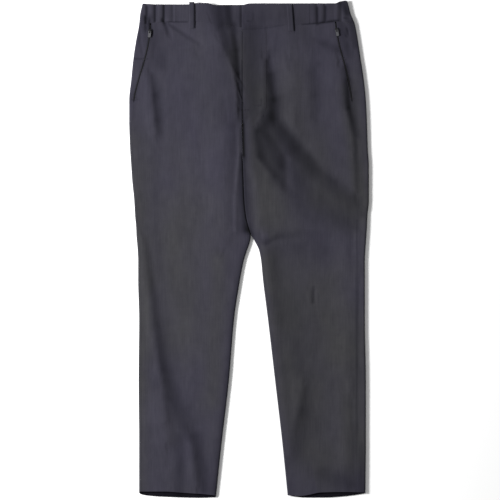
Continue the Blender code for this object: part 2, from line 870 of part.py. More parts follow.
def zip_strip(side):
    """The pocket zip: a tape under the slit's edges with its coil standing in the slit."""
    leg = LEGS[side]
    profile = [
        (-TAPE_HALF, "tape"),
        (-COIL_HALF, "tape"),
        (-COIL_HALF + COIL_DROP, "foot"),
        (-COIL_HALF / 2, "crest"),
        (COIL_HALF / 2, "crest"),
        (COIL_HALF - COIL_DROP, "foot"),
        (COIL_HALF, "tape"),
        (TAPE_HALF, "tape"),
    ]
    outer_rows = []
    inner_rows = []
    for down in zip_rows():
        middle = edge(leg.seam, down)
        beside = min(TAPE_HALF, abs(middle - edge(leg.outer, down)) - FOLD_ROOM)
        floor = min(lowest_near(leg.height, middle + x, down) for x in (-TAPE_HALF, 0, TAPE_HALF))
        floor -= CLOTH + HIDDEN_GAP
        base = leg.height(middle, down)
        tops = {"tape": floor, "foot": base - COIL_FOOT, "crest": base - COIL_DROP}
        outer = []
        inner = []
        for offset, part in profile:
            across = middle + leg.sign * max(offset, -beside)
            level_down = bend(leg, across, down, 1)
            outer.append(place(across, level_down, tops[part if down < SLOT_FOOT else "tape"]))
            inner.append(place(across, level_down, floor - TAPE_WALL))
        outer_rows.append(outer)
        inner_rows.append(inner)
    return shell("pocket_zip_" + side, outer_rows, inner_rows, TAPE_COLOUR)


def pocket_bag(side):
    """A plain bag from the tape's edge inwards, half way between the front and the back."""
    leg = LEGS[side]

    def acrosses(down):
        start = edge(leg.seam, min(down, SLOT_FOOT)) + leg.sign * (TAPE_HALF + SEAM_GAP)
        width = BAG_WIDTH * (1 - BAG_TAPER * smooth_step(SLOT_FOOT, BAG_FOOT, down))
        return spread(start, start + leg.sign * width, BAG_COLUMNS)

    def top_of(across, down):
        return (lowest_near(cloth_height, across, down) + BAG_WALL) / 2

    downs = [BAG_TOP] + zip_rows()[1:] + spread(SLOT_FOOT + BAG_STEP, BAG_FOOT, 3)
    return under_sheet("pocket_bag_" + side, leg, acrosses, downs, top_of, BAG_WALL, BAG_COLOUR)


def fly_shield():
    """The strip behind the fly's lap, under both fronts."""

    def acrosses(down):
        return spread(SHIELD_FROM, SHIELD_TO, SHIELD_COLUMNS)

    def top_of(across, down):
        return lowest_near(cloth_height, across, down) - CLOTH - HIDDEN_GAP

    downs = spread(SHIELD_TOP, SHIELD_FOOT, SHIELD_ROWS)
    leg = LEGS["right"]
    return under_sheet("fly_shield", leg, acrosses, downs, top_of, SHIELD_WALL, CLOTH_COLOUR)


# Slider and pull tab


def prism(name, outline, axis_from, axis_to, colour):
    """Extrudes an outline of (along, up) pairs across from axis_from to axis_to, in millimetres."""
    mesh_data = bmesh.new()
    start = [mesh_data.verts.new((axis_from * MM, a * MM, h * MM)) for a, h in outline]
    end = [mesh_data.verts.new((axis_to * MM, a * MM, h * MM)) for a, h in outline]
    mesh_data.faces.new(start)
    mesh_data.faces.new(list(reversed(end)))
    count = len(outline)
    for n in range(count):
        m = (n + 1) % count
        mesh_data.faces.new((start[n], start[m], end[m], end[n]))
    return finish(name, mesh_data, colour)


def slider_frame(side):
    """Where a slider sits: its middle on the surface, with its own axes along and across the zip."""
    leg = LEGS[side]

    def on_panel(across, down):
        return place(across, bend(leg, across, down, 1), leg.height(across, down))

    here = edge(leg.seam, SLIDER_DOWN)
    origin = on_panel(here, SLIDER_DOWN)
    next_down = SLIDER_DOWN + SLIDER_AHEAD
    toward = on_panel(edge(leg.seam, next_down), next_down) - origin
    beside = on_panel(here + SLIDER_AHEAD, SLIDER_DOWN) - on_panel(here - SLIDER_AHEAD, SLIDER_DOWN)
    up = toward.cross(beside).normalized()
    if up.z < 0:
        up.negate()
    along = -toward.normalized()
    across = along.cross(up).normalized()
    turn = Matrix((across, along, up)).transposed().to_4x4()
    return Matrix.Translation(origin + up * SLIDER_LIFT * MM) @ turn


def slider(side):
    frame = slider_frame(side)
    half = SLIDER_LENGTH / 2
    plate = prism(
        "pocket_slider_" + side,
        [
            (-half, 0),
            (half - 1, 0),
            (half, 0.3),
            (half, SLIDER_PLATE - 0.3),
            (half - 0.6, SLIDER_PLATE),
            (-half + 0.6, SLIDER_PLATE),
            (-half, SLIDER_PLATE - 0.4),
        ],
        -SLIDER_WIDTH / 2,
        SLIDER_WIDTH / 2,
        METAL_COLOUR,
    )
    base = SLIDER_PLATE
    inner = BRIDGE_REACH - BRIDGE_POST
    bridge = prism(
        "bridge_" + side,
        [
            (-BRIDGE_REACH, base - 0.3),
            (-inner, base - 0.3),
            (-inner, base + BRIDGE_CLEAR),
            (inner, base + BRIDGE_CLEAR),
            (inner, base - 0.3),
            (BRIDGE_REACH, base - 0.3),
            (BRIDGE_REACH, base + BRIDGE_TOP - 0.6),
            (BRIDGE_REACH - 0.6, base + BRIDGE_TOP),
            (-BRIDGE_REACH + 0.6, base + BRIDGE_TOP),
            (-BRIDGE_REACH, base + BRIDGE_TOP - 0.6),
        ],
        -BRIDGE_WIDTH / 2,
        BRIDGE_WIDTH / 2,
        METAL_COLOUR,
    )
    bridge.hide_render = True
    bridge.display_type = "WIRE"
    join = plate.modifiers.new("bridge", "BOOLEAN")
    join.operation = "UNION"
    join.solver = "EXACT"
    join.object = bridge
    plate.matrix_world = frame
    bridge.matrix_world = frame
    return plate


def pull(side):
    """The tab, its origin on the axis of its bar under the slider's bridge."""
    frame = slider_frame(side)
    lift = Matrix.Translation(Vector((0, 0, (SLIDER_PLATE + PIVOT) * MM)))
    name = "pocket_pull_" + side
    mesh_data = bmesh.new()
    half = PULL_WIDTH / 2
    outline = [
        (-half, PULL_BAR),
        (half, PULL_BAR),
        (half, 1 - PULL_LENGTH),
        (half - 1, -PULL_LENGTH),
        (1 - half, -PULL_LENGTH),
        (-half, 1 - PULL_LENGTH),
    ]
    window = [
        (-WINDOW_HALF, -PULL_BAR),
        (WINDOW_HALF, -PULL_BAR),
        (WINDOW_HALF, -WINDOW_END),
        (-WINDOW_HALF, -WINDOW_END),
    ]
    levels = (PULL_WALL / 2, -PULL_WALL / 2)
    rings = []
    for level in levels:
        ring = [mesh_data.verts.new((x * MM, y * MM, level * MM)) for x, y in outline]
        hole = [mesh_data.verts.new((x * MM, y * MM, level * MM)) for x, y in window]
        rings.append((ring, hole))
    for ring, hole in rings:
        mesh_data.faces.new((ring[0], ring[1], hole[1], hole[0]))
        mesh_data.faces.new((ring[1], ring[2], hole[2], hole[1]))
        mesh_data.faces.new((ring[5], ring[0], hole[0], hole[3]))
        mesh_data.faces.new((ring[2], ring[3], ring[4], ring[5], hole[3], hole[2]))
    for index in (0, 1):
        upper = rings[0][index]
        lower = rings[1][index]
        count = len(upper)
        for n in range(count):
            m = (n + 1) % count
            mesh_data.faces.new((upper[n], upper[m], lower[m], lower[n]))
    made = finish(name, mesh_data, METAL_COLOUR)
    made.matrix_world = frame @ lift
    return made


# The garment


def clear_scene():
    for old in list(bpy.data.objects):
        bpy.data.objects.remove(old, do_unlink=True)


def build():
    clear_scene()
    front_rows = stations(*FRONT_STEPS)
    back_rows = stations(*BACK_STEPS)
    for side in ("right", "left"):
        panel("front_" + side, side, front_section, -1, front_rows, CLOTH_COLOUR)
        panel("back_" + side, side, back_section, 1, back_rows, BACK_COLOUR)
        zip_strip(side)
        pocket_bag(side)
        slider(side)
        pull(side)
    right_end = ELASTIC_FRONT_RIGHT + HALF_GAP
    left_end = ELASTIC_FRONT_LEFT - HALF_GAP
    front_band("waistband_front_right", right_end, UNDERLAP_END, 22, underlap_height, SEAM_RIGHT)
    front_band("waistband_front_left", OVERLAP_EDGE, left_end, 18, overlap_height, SEAM_LEFT)
    back_band("waistband_back", ELASTIC_BACK_RIGHT + HALF_GAP, ELASTIC_BACK_LEFT - HALF_GAP)
    elastic("right", ELASTIC_FRONT_RIGHT, ELASTIC_BACK_RIGHT)
    elastic("left", ELASTIC_FRONT_LEFT, ELASTIC_BACK_LEFT)
    for loop in FRONT_LOOPS:
        front_loop(loop)
    for loop in BACK_LOOPS:
        back_loop(loop)
    fly_shield()


build()
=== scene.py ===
"""Looks of slim tapered trousers laid flat, front up.

Each cut piece is a thin shell on its solid's form, with the creases that the cloth shows. Sizes are in
millimetres. "across" is measured from the middle of the garment towards the wearer's left, and "down" from
the highest point of the waist towards the hems.
"""

import math
from collections import namedtuple

import bmesh
import bpy
import numpy as np
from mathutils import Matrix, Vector


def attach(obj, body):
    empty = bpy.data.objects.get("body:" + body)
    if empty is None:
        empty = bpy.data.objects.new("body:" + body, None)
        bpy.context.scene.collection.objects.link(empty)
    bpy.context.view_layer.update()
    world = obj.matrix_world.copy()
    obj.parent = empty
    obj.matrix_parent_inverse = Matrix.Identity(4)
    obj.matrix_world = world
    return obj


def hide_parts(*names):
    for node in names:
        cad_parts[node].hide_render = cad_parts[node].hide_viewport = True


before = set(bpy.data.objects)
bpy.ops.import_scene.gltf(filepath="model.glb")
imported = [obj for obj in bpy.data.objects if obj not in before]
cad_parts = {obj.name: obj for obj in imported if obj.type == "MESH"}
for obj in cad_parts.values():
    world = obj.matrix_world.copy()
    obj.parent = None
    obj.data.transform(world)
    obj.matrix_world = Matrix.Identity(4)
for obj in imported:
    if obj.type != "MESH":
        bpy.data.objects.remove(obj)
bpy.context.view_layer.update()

MM = 0.001
BODY = "garment"

# Whole garment, as in the solids
MIDDLE_DOWN = 498.7
PANEL_TOP = 50.0
HEM_NOMINAL = 990.0
BEND_REACH_TOP = 60.0
BEND_REACH_HEM = 90.0
CLOTH = 1.2
BAND = 1.8
HEM_CLOTH = 2.0
HEM_DEPTH = 26.0
HEM_RAMP = 3.0
HALF_GAP = 0.04
REST_HEIGHT = 6.2
LOWEST_HEIGHT = 3.4
FLOOR_SOFTNESS = 0.2
FOLD_BLEND = 4
PAINTED_SHADE_BLEND = 5
GREY_BLEND = 4
FOLD_ROUNDNESS = 1.1
FOLD_PROBE = 3.2
EDGE_SWELL = 0.5
EDGE_SWELL_WIDTH = 14.0
BAND_STEP = 0.4

# Fly
FLY_EDGE = -13.7
FLY_WIDTH = 47.0
FLY_RISE = 0.8
FLY_FOOT = 250.0
FLY_CURVE = 26.0
FLY_STEP = 5.0

# Columns of points across each stretch of a section
FLAT_COLUMNS = 64
WRAP_COLUMNS = 10
TURN_COLUMNS = 13
UNDER_COLUMNS = 25
CURL_COLUMNS = 9

# Crotch
CROTCH_DOWN = 300.0
LEG_DOWN = 344.0

# Waistband
UNDERLAP_END = 24.0
UNDERLAP_HEIGHT = 5.2
UNDERLAP_FADE = (-20.0, -14.2)
OVERLAP_HEIGHT = 7.4
OVERLAP_EDGE = -14.1
OVERLAP_FADE = (20.0, 62.0)
CLOSURE_ACROSS = (-9.0, 11.0)
CLOSURE_DOWN = (24.0, 48.0)
CLOSURE_RISE = 0.5
CLOSURE_EDGE = 4.5
ELASTIC_FRONT_RIGHT = -146.0
ELASTIC_FRONT_LEFT = 122.0
ELASTIC_BACK_RIGHT = -150.0
ELASTIC_BACK_LEFT = 126.0
ELASTIC_TOP = 8.0
BAND_DROP = 0.35
BAND_TURN = 0.08
BAND_ROLL = 0.4
BACK_TOP = 9.0
BACK_SEAM = 50.0
LOOP_WIDTH = 10.5
LOOP_WALL = 1.2
LOOP_ROUNDING = 0.45
LOOP_RIB = 0.12
LOOP_RIB_AT = 0.36
LOOP_RIB_WIDTH = 0.03
FRONT_LOOP_CLEAR = 0.45
FRONT_LOOP_BOW = 0.9
BACK_LOOP_WALL = 1.0
BACK_LOOP_LIFT = 1.35
BACK_LOOP_ROOM = (1.0, 9.0)

# Fly shield, zips and pocket bags
SHIELD_FROM = -32.0
SHIELD_TO = 20.0
SHIELD_TOP = 62.0
SHIELD_FOOT = 236.0
SHIELD_WALL = 0.8
NEAR_ACROSS = 5.0
NEAR_DOWN = 8.0
ZIP_TAIL = 3.0
COIL_HALF = 1.1
COIL_FOOT = 0.7
COIL_DROP = 0.1
COIL_PITCH = 1.5
BAG_WIDTH = 96.0
BAG_TOP = 60.0
BAG_FOOT = 290.0
BAG_WALL = 0.8
BAG_TAPER = 0.35
SLOT_HALF = 1.5
SLOT_TOP = 52.0
SLOT_FOOT = 200.0
SLOT_START = 6.0
SLOT_END = 4.0
TAPE_HALF = 8.0
TAPE_WALL = 0.8
HIDDEN_GAP = 0.5
STITCH_RISE = 0.16
STITCH_INSET = 1.6
TACK_PITCH = 0.45
FOLD_ROOM = 6.4


def table(kind, *rows):
    return [kind(*row) for row in rows]


Section = namedtuple(
    "Section", "down right_outer right_inner left_inner left_outer right_seam left_seam"
)
# The outline and the seams, a row for each section from the waist to the hems
SECTIONS = table(
    Section,
    (0, -211, -14, -13.4, 195, -196, 172),
    (14, -215, -14, -13.4, 200, -196, 172),
    (28, -218, -14, -13.4, 204, -196, 172),
    (48, -220, -14, -13.4, 212, -197, 173),
    (80, -226, -14, -13.4, 218, -200, 178),
    (120, -232, -14, -13.4, 224, -209, 189),
    (160, -236, -14, -13.4, 230, -221, 199),
    (200, -240, -14, -13.4, 234, -230, 206),
    (240, -240, -14, -13.4, 236, -232, 212),
    (300, -238, -14, -13.4, 238, -232, 218),
    (330, -236, -12.5, -12.5, 240, -231, 219.2),
    (360, -234, -11.3, -11.3, 240, -229, 219.6),
    (400, -230, -9.7, -9.7, 240, -225, 219.6),
    (434, -228, -5.9, -5.9, 237, -223, 219.6),
    (456, -226, -0.3, -0.3, 236, -221, 219.4),
    (470, -225.5, 3.9, 4.3, 235, -220.5, 219.2),
    (486, -224, 1.2, 13.4, 234, -219, 219),
    (500, -223, -3.6, 20, 233, -218, 219),
    (520, -222, -10, 24, 232, -217, 219),
    (560, -222, -18, 28, 232, -217, 219),
    (640, -220, -30, 38, 232, -215, 219),
    (760, -221, -40, 52, 234, -216, 220),
    (880, -220, -54, 66, 234, -215, 220),
    (997, -220, -67, 78, 233, -215, 219),
)

Line = namedtuple("Line", "across down")
TOP_LINE = table(
    Line,
    (-220, 12),
    (-212, 7),
    (-198, 8.5),
    (-122, 9),
    (-104, 6.4),
    (-84, 6.4),
    (-70, 10),
    (-14, 10),
    (2, 6.8),
    (172, 6.8),
    (183, 2.6),
    (194, 1.4),
    (204, 12),
)
SEAM_RIGHT = table(
    Line,
    (-222, 50),
    (-196, 46),
    (-168, 44),
    (-114, 44),
    (-60, 49),
    (-14, 54.5),
    (24, 56),
)
SEAM_LEFT = table(
    Line,
    (-14, 59),
    (6, 60),
    (20, 56.5),
    (40, 51.5),
    (108, 49.5),
    (140, 46.5),
    (178, 43),
    (214, 50),
)
HEM_FRONT = table(
    Line,
    (-222, 983),
    (-168, 983),
    (-138, 985),
    (-74, 990),
    (-64, 992),
    (78, 991),
    (102, 992),
    (122, 989),
    (142, 985),
    (182, 984),
    (234, 985),
)
HEM_BACK = table(
    Line,
    (-222, 988),
    (-208, 991),
    (-178, 993.6),
    (-98, 996),
    (-66, 995),
    (78, 991),
    (92, 994),
    (112, 995.6),
    (152, 995.6),
    (192, 993),
    (236, 987),
)

FLY_STITCH = table(
    Line,
    (34, 60),
    (34, 214),
    (31, 226),
    (25, 235),
    (19, 243),
    (16.5, 254),
    (-8, 254),
)
POCKET_TACKS = (118, 198)

Fold = namedtuple("Fold", "across down to_across to_down rise left right")
# Broad folds of the upper layer, a trough where rise is negative. left and right are the widths of the slopes
# at the picture's left and right of a line that runs down, and a small one makes a steep slope. Beside a line
# that runs to the picture's right, left is the slope below it.
FOLDS = table(
    Fold,
    # swell of the wearer's right thigh, falling steeply to the fly
    (-88, 12, -72, 56, 3.2, 44, 20),
    (-72, 56, -58, 90, 3.8, 46, 17),
    (-58, 90, -42, 118, 4.0, 46, 12),
    (-42, 118, -31, 150, 3.8, 46, 8),
    (-31, 150, -25, 200, 3.2, 44, 6),
    (-25, 200, -28, 236, 2.6, 42, 8),
    (-28, 236, -44, 300, 2.4, 40, 16),
    (-44, 300, -46, 440, 2.4, 40, 20),
    (-46, 440, -50, 480, 1.8, 36, 20),
    # valley beside the fly
    (-27, 70, -21, 130, -1.6, 7, 5),
    (-21, 130, -16, 240, -1.4, 5, 4),
    # side of the wearer's right hip, and the fold that runs down that leg
    (-201, 154, -197, 200, 2.6, 14, 9),
    (-197, 200, -188, 264, 2.4, 14, 9),
    (-214, 480, -206, 540, 2.2, 14, 10),
    (-206, 540, -196, 600, 2.4, 16, 10),
    (-196, 600, -187, 690, 2.6, 18, 11),
    (-187, 690, -176, 760, 2.6, 20, 11),
    (-176, 760, -167, 840, 2.6, 22, 10),
    (-167, 840, -166, 880, 1.8, 22, 12),
    (-150, 800, -128, 880, -1.2, 18, 26),
    (-120, 870, -112, 912, 2.2, 14, 8),
    (-112, 912, -106, 972, 2.4, 16, 8),
    # edge of the wearer's left thigh beside the crotch
    (3, 244, 6, 330, 1.9, 7, 9),
    (6, 330, 16, 380, 1.8, 8, 14),
    (16, 380, 24, 450, 1.8, 11, 30),
    # fly panel, and the valley beyond its stitching
    (26, 124, 28, 214, 1.4, 26, 7),
    (40, 122, 45, 190, -2.2, 5, 11),
    (45, 190, 50, 240, -2.6, 7, 14),
    # swells of the wearer's left hip
    (86, 130, 88, 262, 2.6, 20, 16),
    (133, 146, 136, 232, -1.6, 12, 13),
    (180, 140, 188, 200, 2.6, 26, 9),
    (188, 200, 198, 240, 2.6, 26, 8),
    (198, 240, 208, 300, 2.2, 26, 8),
    (208, 300, 212, 380, 1.4, 20, 8),
    # drag line from the fly's foot out across the thigh
    (58, 234, 82, 266, -2.6, 14, 11),
    (82, 266, 106, 294, -2.6, 20, 12),
    (106, 294, 126, 318, -2.6, 24, 12),
    (126, 318, 142, 342, -2.6, 24, 12),
    (142, 342, 174, 368, -2.4, 24, 12),
    (174, 368, 218, 408, -2.0, 22, 12),
    (30, 272, 58, 308, 1.6, 9, 9),
    (74, 318, 76, 372, -1.8, 9, 9),
    (38, 488, 60, 478, -1.2, 9, 9),
    (60, 478, 102, 472, -1.2, 9, 9),
    # wearer's left leg
    (32, 492, 44, 600, 1.6, 10, 13),
    (44, 600, 60, 732, 1.6, 12, 14),
    (60, 732, 82, 900, 1.4, 12, 14),
    (106, 776, 98, 824, 1.8, 16, 9),
    (98, 824, 82, 880, 1.4, 16, 10),
    (130, 584, 131, 604, -1.0, 5, 5),
    (206, 800, 210, 980, -1.4, 12, 6),
    (146, 950, 200, 964, -1.0, 13, 13),
)
# Narrow creases, added to the broad folds
CREASES = table(
    Fold,
    (-206, 36, -205, 62, -1.8, 3, 3.5),
    (-198, 46, -195, 70, -1.6, 3, 4),
    (-172, 44, -160, 74, -1.4, 3.5, 5),
    (-160, 54, -130, 70, -0.9, 4, 4),
    (-130, 70, -100, 88, -0.8, 5, 4),
    (-106, 94, -101, 112, -0.7, 4, 3),
    (-219, 60, -218, 83, -0.8, 3, 3),
    (-218, 83, -212, 108, -0.8, 3, 3),
    (-228, 118, -214, 118, -0.6, 2, 2),
    (-234, 197, -220, 197, -0.6, 2, 2),
    (-186, 90, -190, 112, -0.6, 4, 4),
    (-52, 188, -44, 240, -1.0, 7, 5),
    (-20, 258, -20, 312, 0.8, 4, 3.5),
    (-20, 312, -27, 392, 1.1, 4.5, 4.5),
    (-27, 392, -27, 462, 1.1, 4.5, 5),
    (76, 104, 82, 138, -0.8, 4, 5),
    (98, 80, 102, 104, -0.5, 4, 4),
    (134, 80, 158, 90, -0.8, 5, 5),
    (158, 90, 180, 98, -1.0, 5, 5),
    (197, 56, 198, 74, -0.9, 2.5, 2.5),
    (200, 88, 196, 102, -0.7, 3, 3),
)

PaintedShadeRow = namedtuple("PaintedShadeRow", "across down to_across to_down dark to_dark left right")
# Painted shade where the cloth slopes away from the light, in valleys and hollows and beside raised edges,
# and painted
# highlights where it faces the light: dark and to_dark are the shares of the colour that are lost at the
# line's two ends, and negative ones make it lighter
PAINTED_SHADE_ROWS = table(
    PaintedShadeRow,
    # waistband by the closure, and the valley beside the fly
    (-58, 16, -54, 48, 0.56, 0.56, 18, 14),
    (-42, 14, -37, 50, 0.76, 0.72, 15, 8),
    (-54, 50, -36, 110, 0.44, 0.48, 12, 12),
    (-34, 50, -26, 100, 0.68, 0.74, 10, 11),
    (-26, 100, -21, 146, 0.76, 0.76, 9, 9),
    (-21, 146, -15.5, 180, 0.76, 0.78, 5, 6),
    (-15.5, 180, -14, 220, 0.80, 0.82, 5, 4),
    (-14, 220, -12, 250, 0.84, 0.84, 4, 4),
    (-12, 250, -10, 312, 0.84, 0.80, 4, 5),
    # edges of the fly and the crotch seam, and the ridge and the thigh beside them
    (-14.2, 120, -13.2, 250, 0.66, 0.94, 2.0, 1.8),
    (-13, 250, -10.5, 312, 0.95, 0.92, 2.6, 3.4),
    (-12, 312, -13, 340, 0.76, 0.68, 8, 8),
    (-13, 340, -7, 460, 0.68, 0.70, 9, 9),
    (-20, 256, -20, 312, -0.10, -0.26, 4, 3),
    (-21, 320, -28, 392, -0.26, -0.30, 4, 4),
    (-28, 392, -28, 460, -0.30, -0.24, 4, 4),
    (-54, 110, -34, 250, 0.16, 0.30, 20, 14),
    (-32, 250, -30, 440, 0.24, 0.10, 16, 14),
    # waistband over the fly, the fly panel, and the valley beyond it
    (-12, 40, 20, 40, 0.34, 0.24, 18, 24),
    (4, 60, 6, 220, 0.52, 0.50, 24, 22),
    (-6, 236, -2, 330, 0.40, 0.28, 11, 13),
    (-2, 330, 0, 450, 0.24, 0.30, 10, 10),
    (38, 104, 42, 150, 0.30, 0.70, 3, 8),
    (42, 150, 48, 200, 0.76, 0.82, 8, 13),
    (48, 200, 48, 236, 0.82, 0.80, 13, 18),
    # painted shadows round the tacks and the closure
    (12, 211, 24, 211, 0.50, 0.50, 1.8, 1.8),
    (24, 198, 24, 210, 0.45, 0.45, 1.8, 1.8),
    (-9, 220, -1, 220, 0.50, 0.50, 1.8, 1.8),
    (-5, 224, -5, 250, 0.40, 0.40, 1.6, 1.6),
    (-4, 42, 4, 44, 0.60, 0.60, 1.8, 1.8),
    (4, 44, 8, 38, 0.50, 0.50, 1.8, 1.8),
    (-6, 24, -6, 40, 0.35, 0.35, 1.8, 1.8),
    # hollow below the fly, and the drag line across the thigh
    (42, 230, 26, 262, 0.76, 0.72, 16, 22),
    (17, 262, 22, 312, 0.70, 0.68, 9, 22),
    (22, 312, 52, 352, 0.64, 0.60, 8, 17),
    (52, 352, 88, 392, 0.60, 0.30, 12, 18),
    (34, 276, 62, 330, 0.66, 0.65, 20, 20),
    (80, 330, 120, 400, 0.42, 0.28, 28, 26),
    (50, 240, 96, 296, 0.67, 0.62, 30, 16),
    (96, 296, 128, 328, 0.60, 0.54, 32, 15),
    (128, 330, 170, 364, 0.46, 0.40, 28, 13),
    (170, 364, 218, 402, 0.40, 0.34, 26, 12),
    (112, 398, 190, 440, 0.28, 0.27, 36, 28),
    (96, 466, 196, 464, 0.16, 0.18, 18, 10),
    (44, 400, 60, 450, -0.10, -0.10, 14, 20),
    (80, 490, 170, 500, 0.14, 0.16, 26, 26),
    (34, 486, 58, 474, 0.40, 0.30, 6, 8),
    (58, 474, 112, 468, 0.30, 0.08, 8, 8),
    # swells and marks of the wearer's left hip
    (98, 124, 104, 216, -0.10, -0.10, 14, 12),
    (133, 130, 136, 190, 0.20, 0.34, 12, 12),
    (136, 190, 139, 244, 0.34, 0.18, 14, 12),
    (79, 96, 82, 120, 0.02, 0.26, 5, 6),
    (82, 120, 82, 146, 0.26, 0.02, 5, 6),
    (99, 76, 102, 110, 0.16, 0.06, 5, 5),
    (120, 74, 150, 86, 0.04, 0.26, 8, 8),
    (150, 86, 184, 100, 0.26, 0.28, 10, 8),
    # elastic section of the wearer's right, and the creases below it
    (-204, 14, -204, 36, 0.70, 0.76, 3, 3),
    (-203, 38, -198, 58, 0.74, 0.74, 9, 9),
    (-205.6, 56, -206, 62, 0.60, 0.50, 3, 3),
    (-197, 54, -195.6, 70, 0.66, 0.50, 3, 3),
    (-187.4, 10, -188, 42, 0.74, 0.74, 2.8, 2.8),
    (-170, 11, -170, 46, 0.84, 0.84, 2.8, 2.8),
    (-172, 41, -169, 47, 0.66, 0.66, 4, 4),
    (-169, 46, -156, 78, 0.60, 0.20, 4, 5),
    (-159, 50, -130, 70, 0.40, 0.30, 4, 5),
    (-130, 70, -101, 88, 0.30, 0.20, 5, 6),
    (-101, 88, -103, 114, 0.30, 0.04, 4, 5),
    (-196, 58, -176, 130, 0.42, 0.32, 20, 18),
    (-104, 112, -44, 236, 0.09, 0.14, 16, 12),
    (-232, 190, -226, 260, 0.26, 0.10, 8, 10),
    # painted shade along the waist seam and along the shaded edges of the front belt loops
    (-166, 44, -124, 44, 0.50, 0.50, 2, 2),
    (-110, 6, -110, 57, 0.60, 0.60, 1.8, 1.8),
    (87.5, 16, 91, 63, 0.60, 0.60, 1.8, 1.8),
    (-10, 59, 26, 57, 0.45, 0.45, 2, 2),
    (26, 57, 70, 50, 0.34, 0.20, 2, 2),
    (106, 49, 136, 46.5, 0.45, 0.60, 2, 2),
    (136, 46.5, 178, 41, 0.75, 0.75, 2.6, 2.6),
    # elastic section of the wearer's left, and the hip below it
    (136.4, 15, 136.8, 48, 0.78, 0.84, 2.8, 2.8),
    (153, 13, 153, 42, 0.80, 0.76, 2.8, 2.8),
    (176.5, 10, 176.5, 40, -0.20, -0.20, 2.5, 2.5),
    (186, 6, 196, 26, 0.66, 0.66, 8, 9),
    (190, 36, 198, 37, 0.60, 0.60, 2, 2),
    (184, 50, 200, 110, 0.40, 0.30, 12, 10),
    (196.5, 56, 195.5, 73, 0.76, 0.76, 2.8, 2.8),
    (160, 118, 168, 172, -0.08, -0.08, 15, 13),
    (204, 44, 214, 90, 0.50, 0.44, 10, 8),
    (217, 90, 228, 152, 0.40, 0.16, 6, 6),
    (80, 30, 116, 84, 0.18, 0.16, 22, 22),
    # hip and thigh of the wearer's right
    (-150, 70, -140, 230, 0.09, 0.05, 50, 50),
    (-206, 60, -212, 250, 0.22, 0.14, 18, 28),
    (-219, 60, -218, 83, 0.36, 0.36, 2.6, 2.6),
    (-218, 83, -211, 112, 0.36, 0.20, 2.6, 2.6),
    (-228.8, 118, -213, 118, 0.45, 0.45, 1.8, 1.8),
    (-234, 197.8, -219, 197.8, 0.45, 0.45, 1.8, 1.8),
    (-194, 150, -189, 190, 0.20, 0.50, 5, 12),
    (-189, 190, -184, 240, 0.50, 0.46, 6, 12),
    (-184, 240, -178, 290, 0.46, 0.10, 8, 12),
    (-216, 250, -212, 460, 0.14, 0.18, 12, 24),
    (-192, 300, -180, 560, 0.16, 0.18, 10, 12),
    (-84, 320, -80, 590, -0.06, -0.08, 26, 26),
    # down the wearer's right leg
    (-206, 470, -197, 560, 0.12, 0.32, 8, 12),
    (-197, 560, -186, 650, 0.32, 0.40, 9, 14),
    (-186, 650, -170, 740, 0.40, 0.48, 10, 20),
    (-170, 740, -156, 800, 0.48, 0.46, 10, 24),
    (-152, 800, -122, 872, 0.42, 0.40, 14, 26),
    (-138, 872, -138, 988, 0.36, 0.36, 12, 12),
    (-106, 872, -88, 978, 0.46, 0.42, 13, 12),
    (-206, 680, -190, 770, 0.16, 0.16, 16, 10),
    (-82, 600, -92, 860, -0.06, -0.08, 22, 24),
    (-130, 640, -124, 780, -0.08, -0.08, 24, 24),
    # pocket edge and outseam of the wearer's left
    (180, 78, 192, 126, 0.20, 0.40, 3, 4),
    (194, 132, 197, 160, 0.66, 0.84, 5, 6),
    (197, 160, 199, 216, 0.84, 0.84, 7, 8),
    (199, 216, 213, 270, 0.80, 0.50, 6, 9),
    (209, 186, 212, 270, 0.26, 0.34, 6, 6),
    (212, 270, 217, 420, 0.36, 0.14, 5, 5),
    (208, 740, 212, 988, 0.16, 0.34, 6, 6),
    (216, 440, 215, 980, 0.34, 0.40, 2.6, 2.6),
    (226, 440, 226, 880, -0.20, -0.12, 5, 5),
    (214, 470, 214, 570, -0.28, -0.20, 10, 9),
    (222, 900, 227, 988, 0.20, 0.50, 11, 12),
    # wearer's left leg
    (46, 500, 62, 640, 0.24, 0.20, 12, 26),
    (76, 600, 104, 740, 0.20, 0.20, 24, 26),
    (122, 740, 108, 820, 0.14, 0.38, 16, 18),
    (108, 820, 94, 920, 0.38, 0.20, 16, 22),
    (150, 950, 216, 970, 0.20, 0.34, 18, 18),
    (182, 480, 190, 920, -0.22, -0.20, 26, 18),
    (129, 574, 127, 604, 0.40, 0.40, 2.6, 2.6),
)

Grey = namedtuple("Grey", "across down to_across to_down grey to_grey left right")
# Broad patches where the indigo has turned to grey, from 0 for indigo to 1 for grey, at each line's two ends
GREYS = table(
    Grey,
    (-240, 290, -222, 560, 0.70, 1.00, 30, 42),
    (-222, 560, -218, 700, 1.00, 0.95, 20, 34),
    (-222, 700, -222, 980, 0.95, 0.60, 20, 20),
    (-150, 430, -140, 660, 0.66, 0.66, 60, 70),
    (-60, 520, -70, 800, 0.66, 0.50, 26, 20),
    (-26, 110, 4, 190, 0.70, 0.62, 20, 40),
    (14, 190, 36, 440, 0.70, 0.86, 30, 56),
    (60, 200, 150, 390, 0.50, 0.66, 40, 60),
    (150, 390, 226, 410, 0.66, 0.80, 50, 36),
    (196, 180, 222, 400, 0.62, 0.90, 16, 30),
    (34, 530, 70, 640, 0.84, 0.78, 26, 46),
    (70, 640, 120, 900, 0.78, 0.76, 50, 80),
    (130, 580, 170, 700, 0.72, 0.74, 60, 60),
    (200, 640, 214, 910, 0.74, 0.74, 50, 40),
)

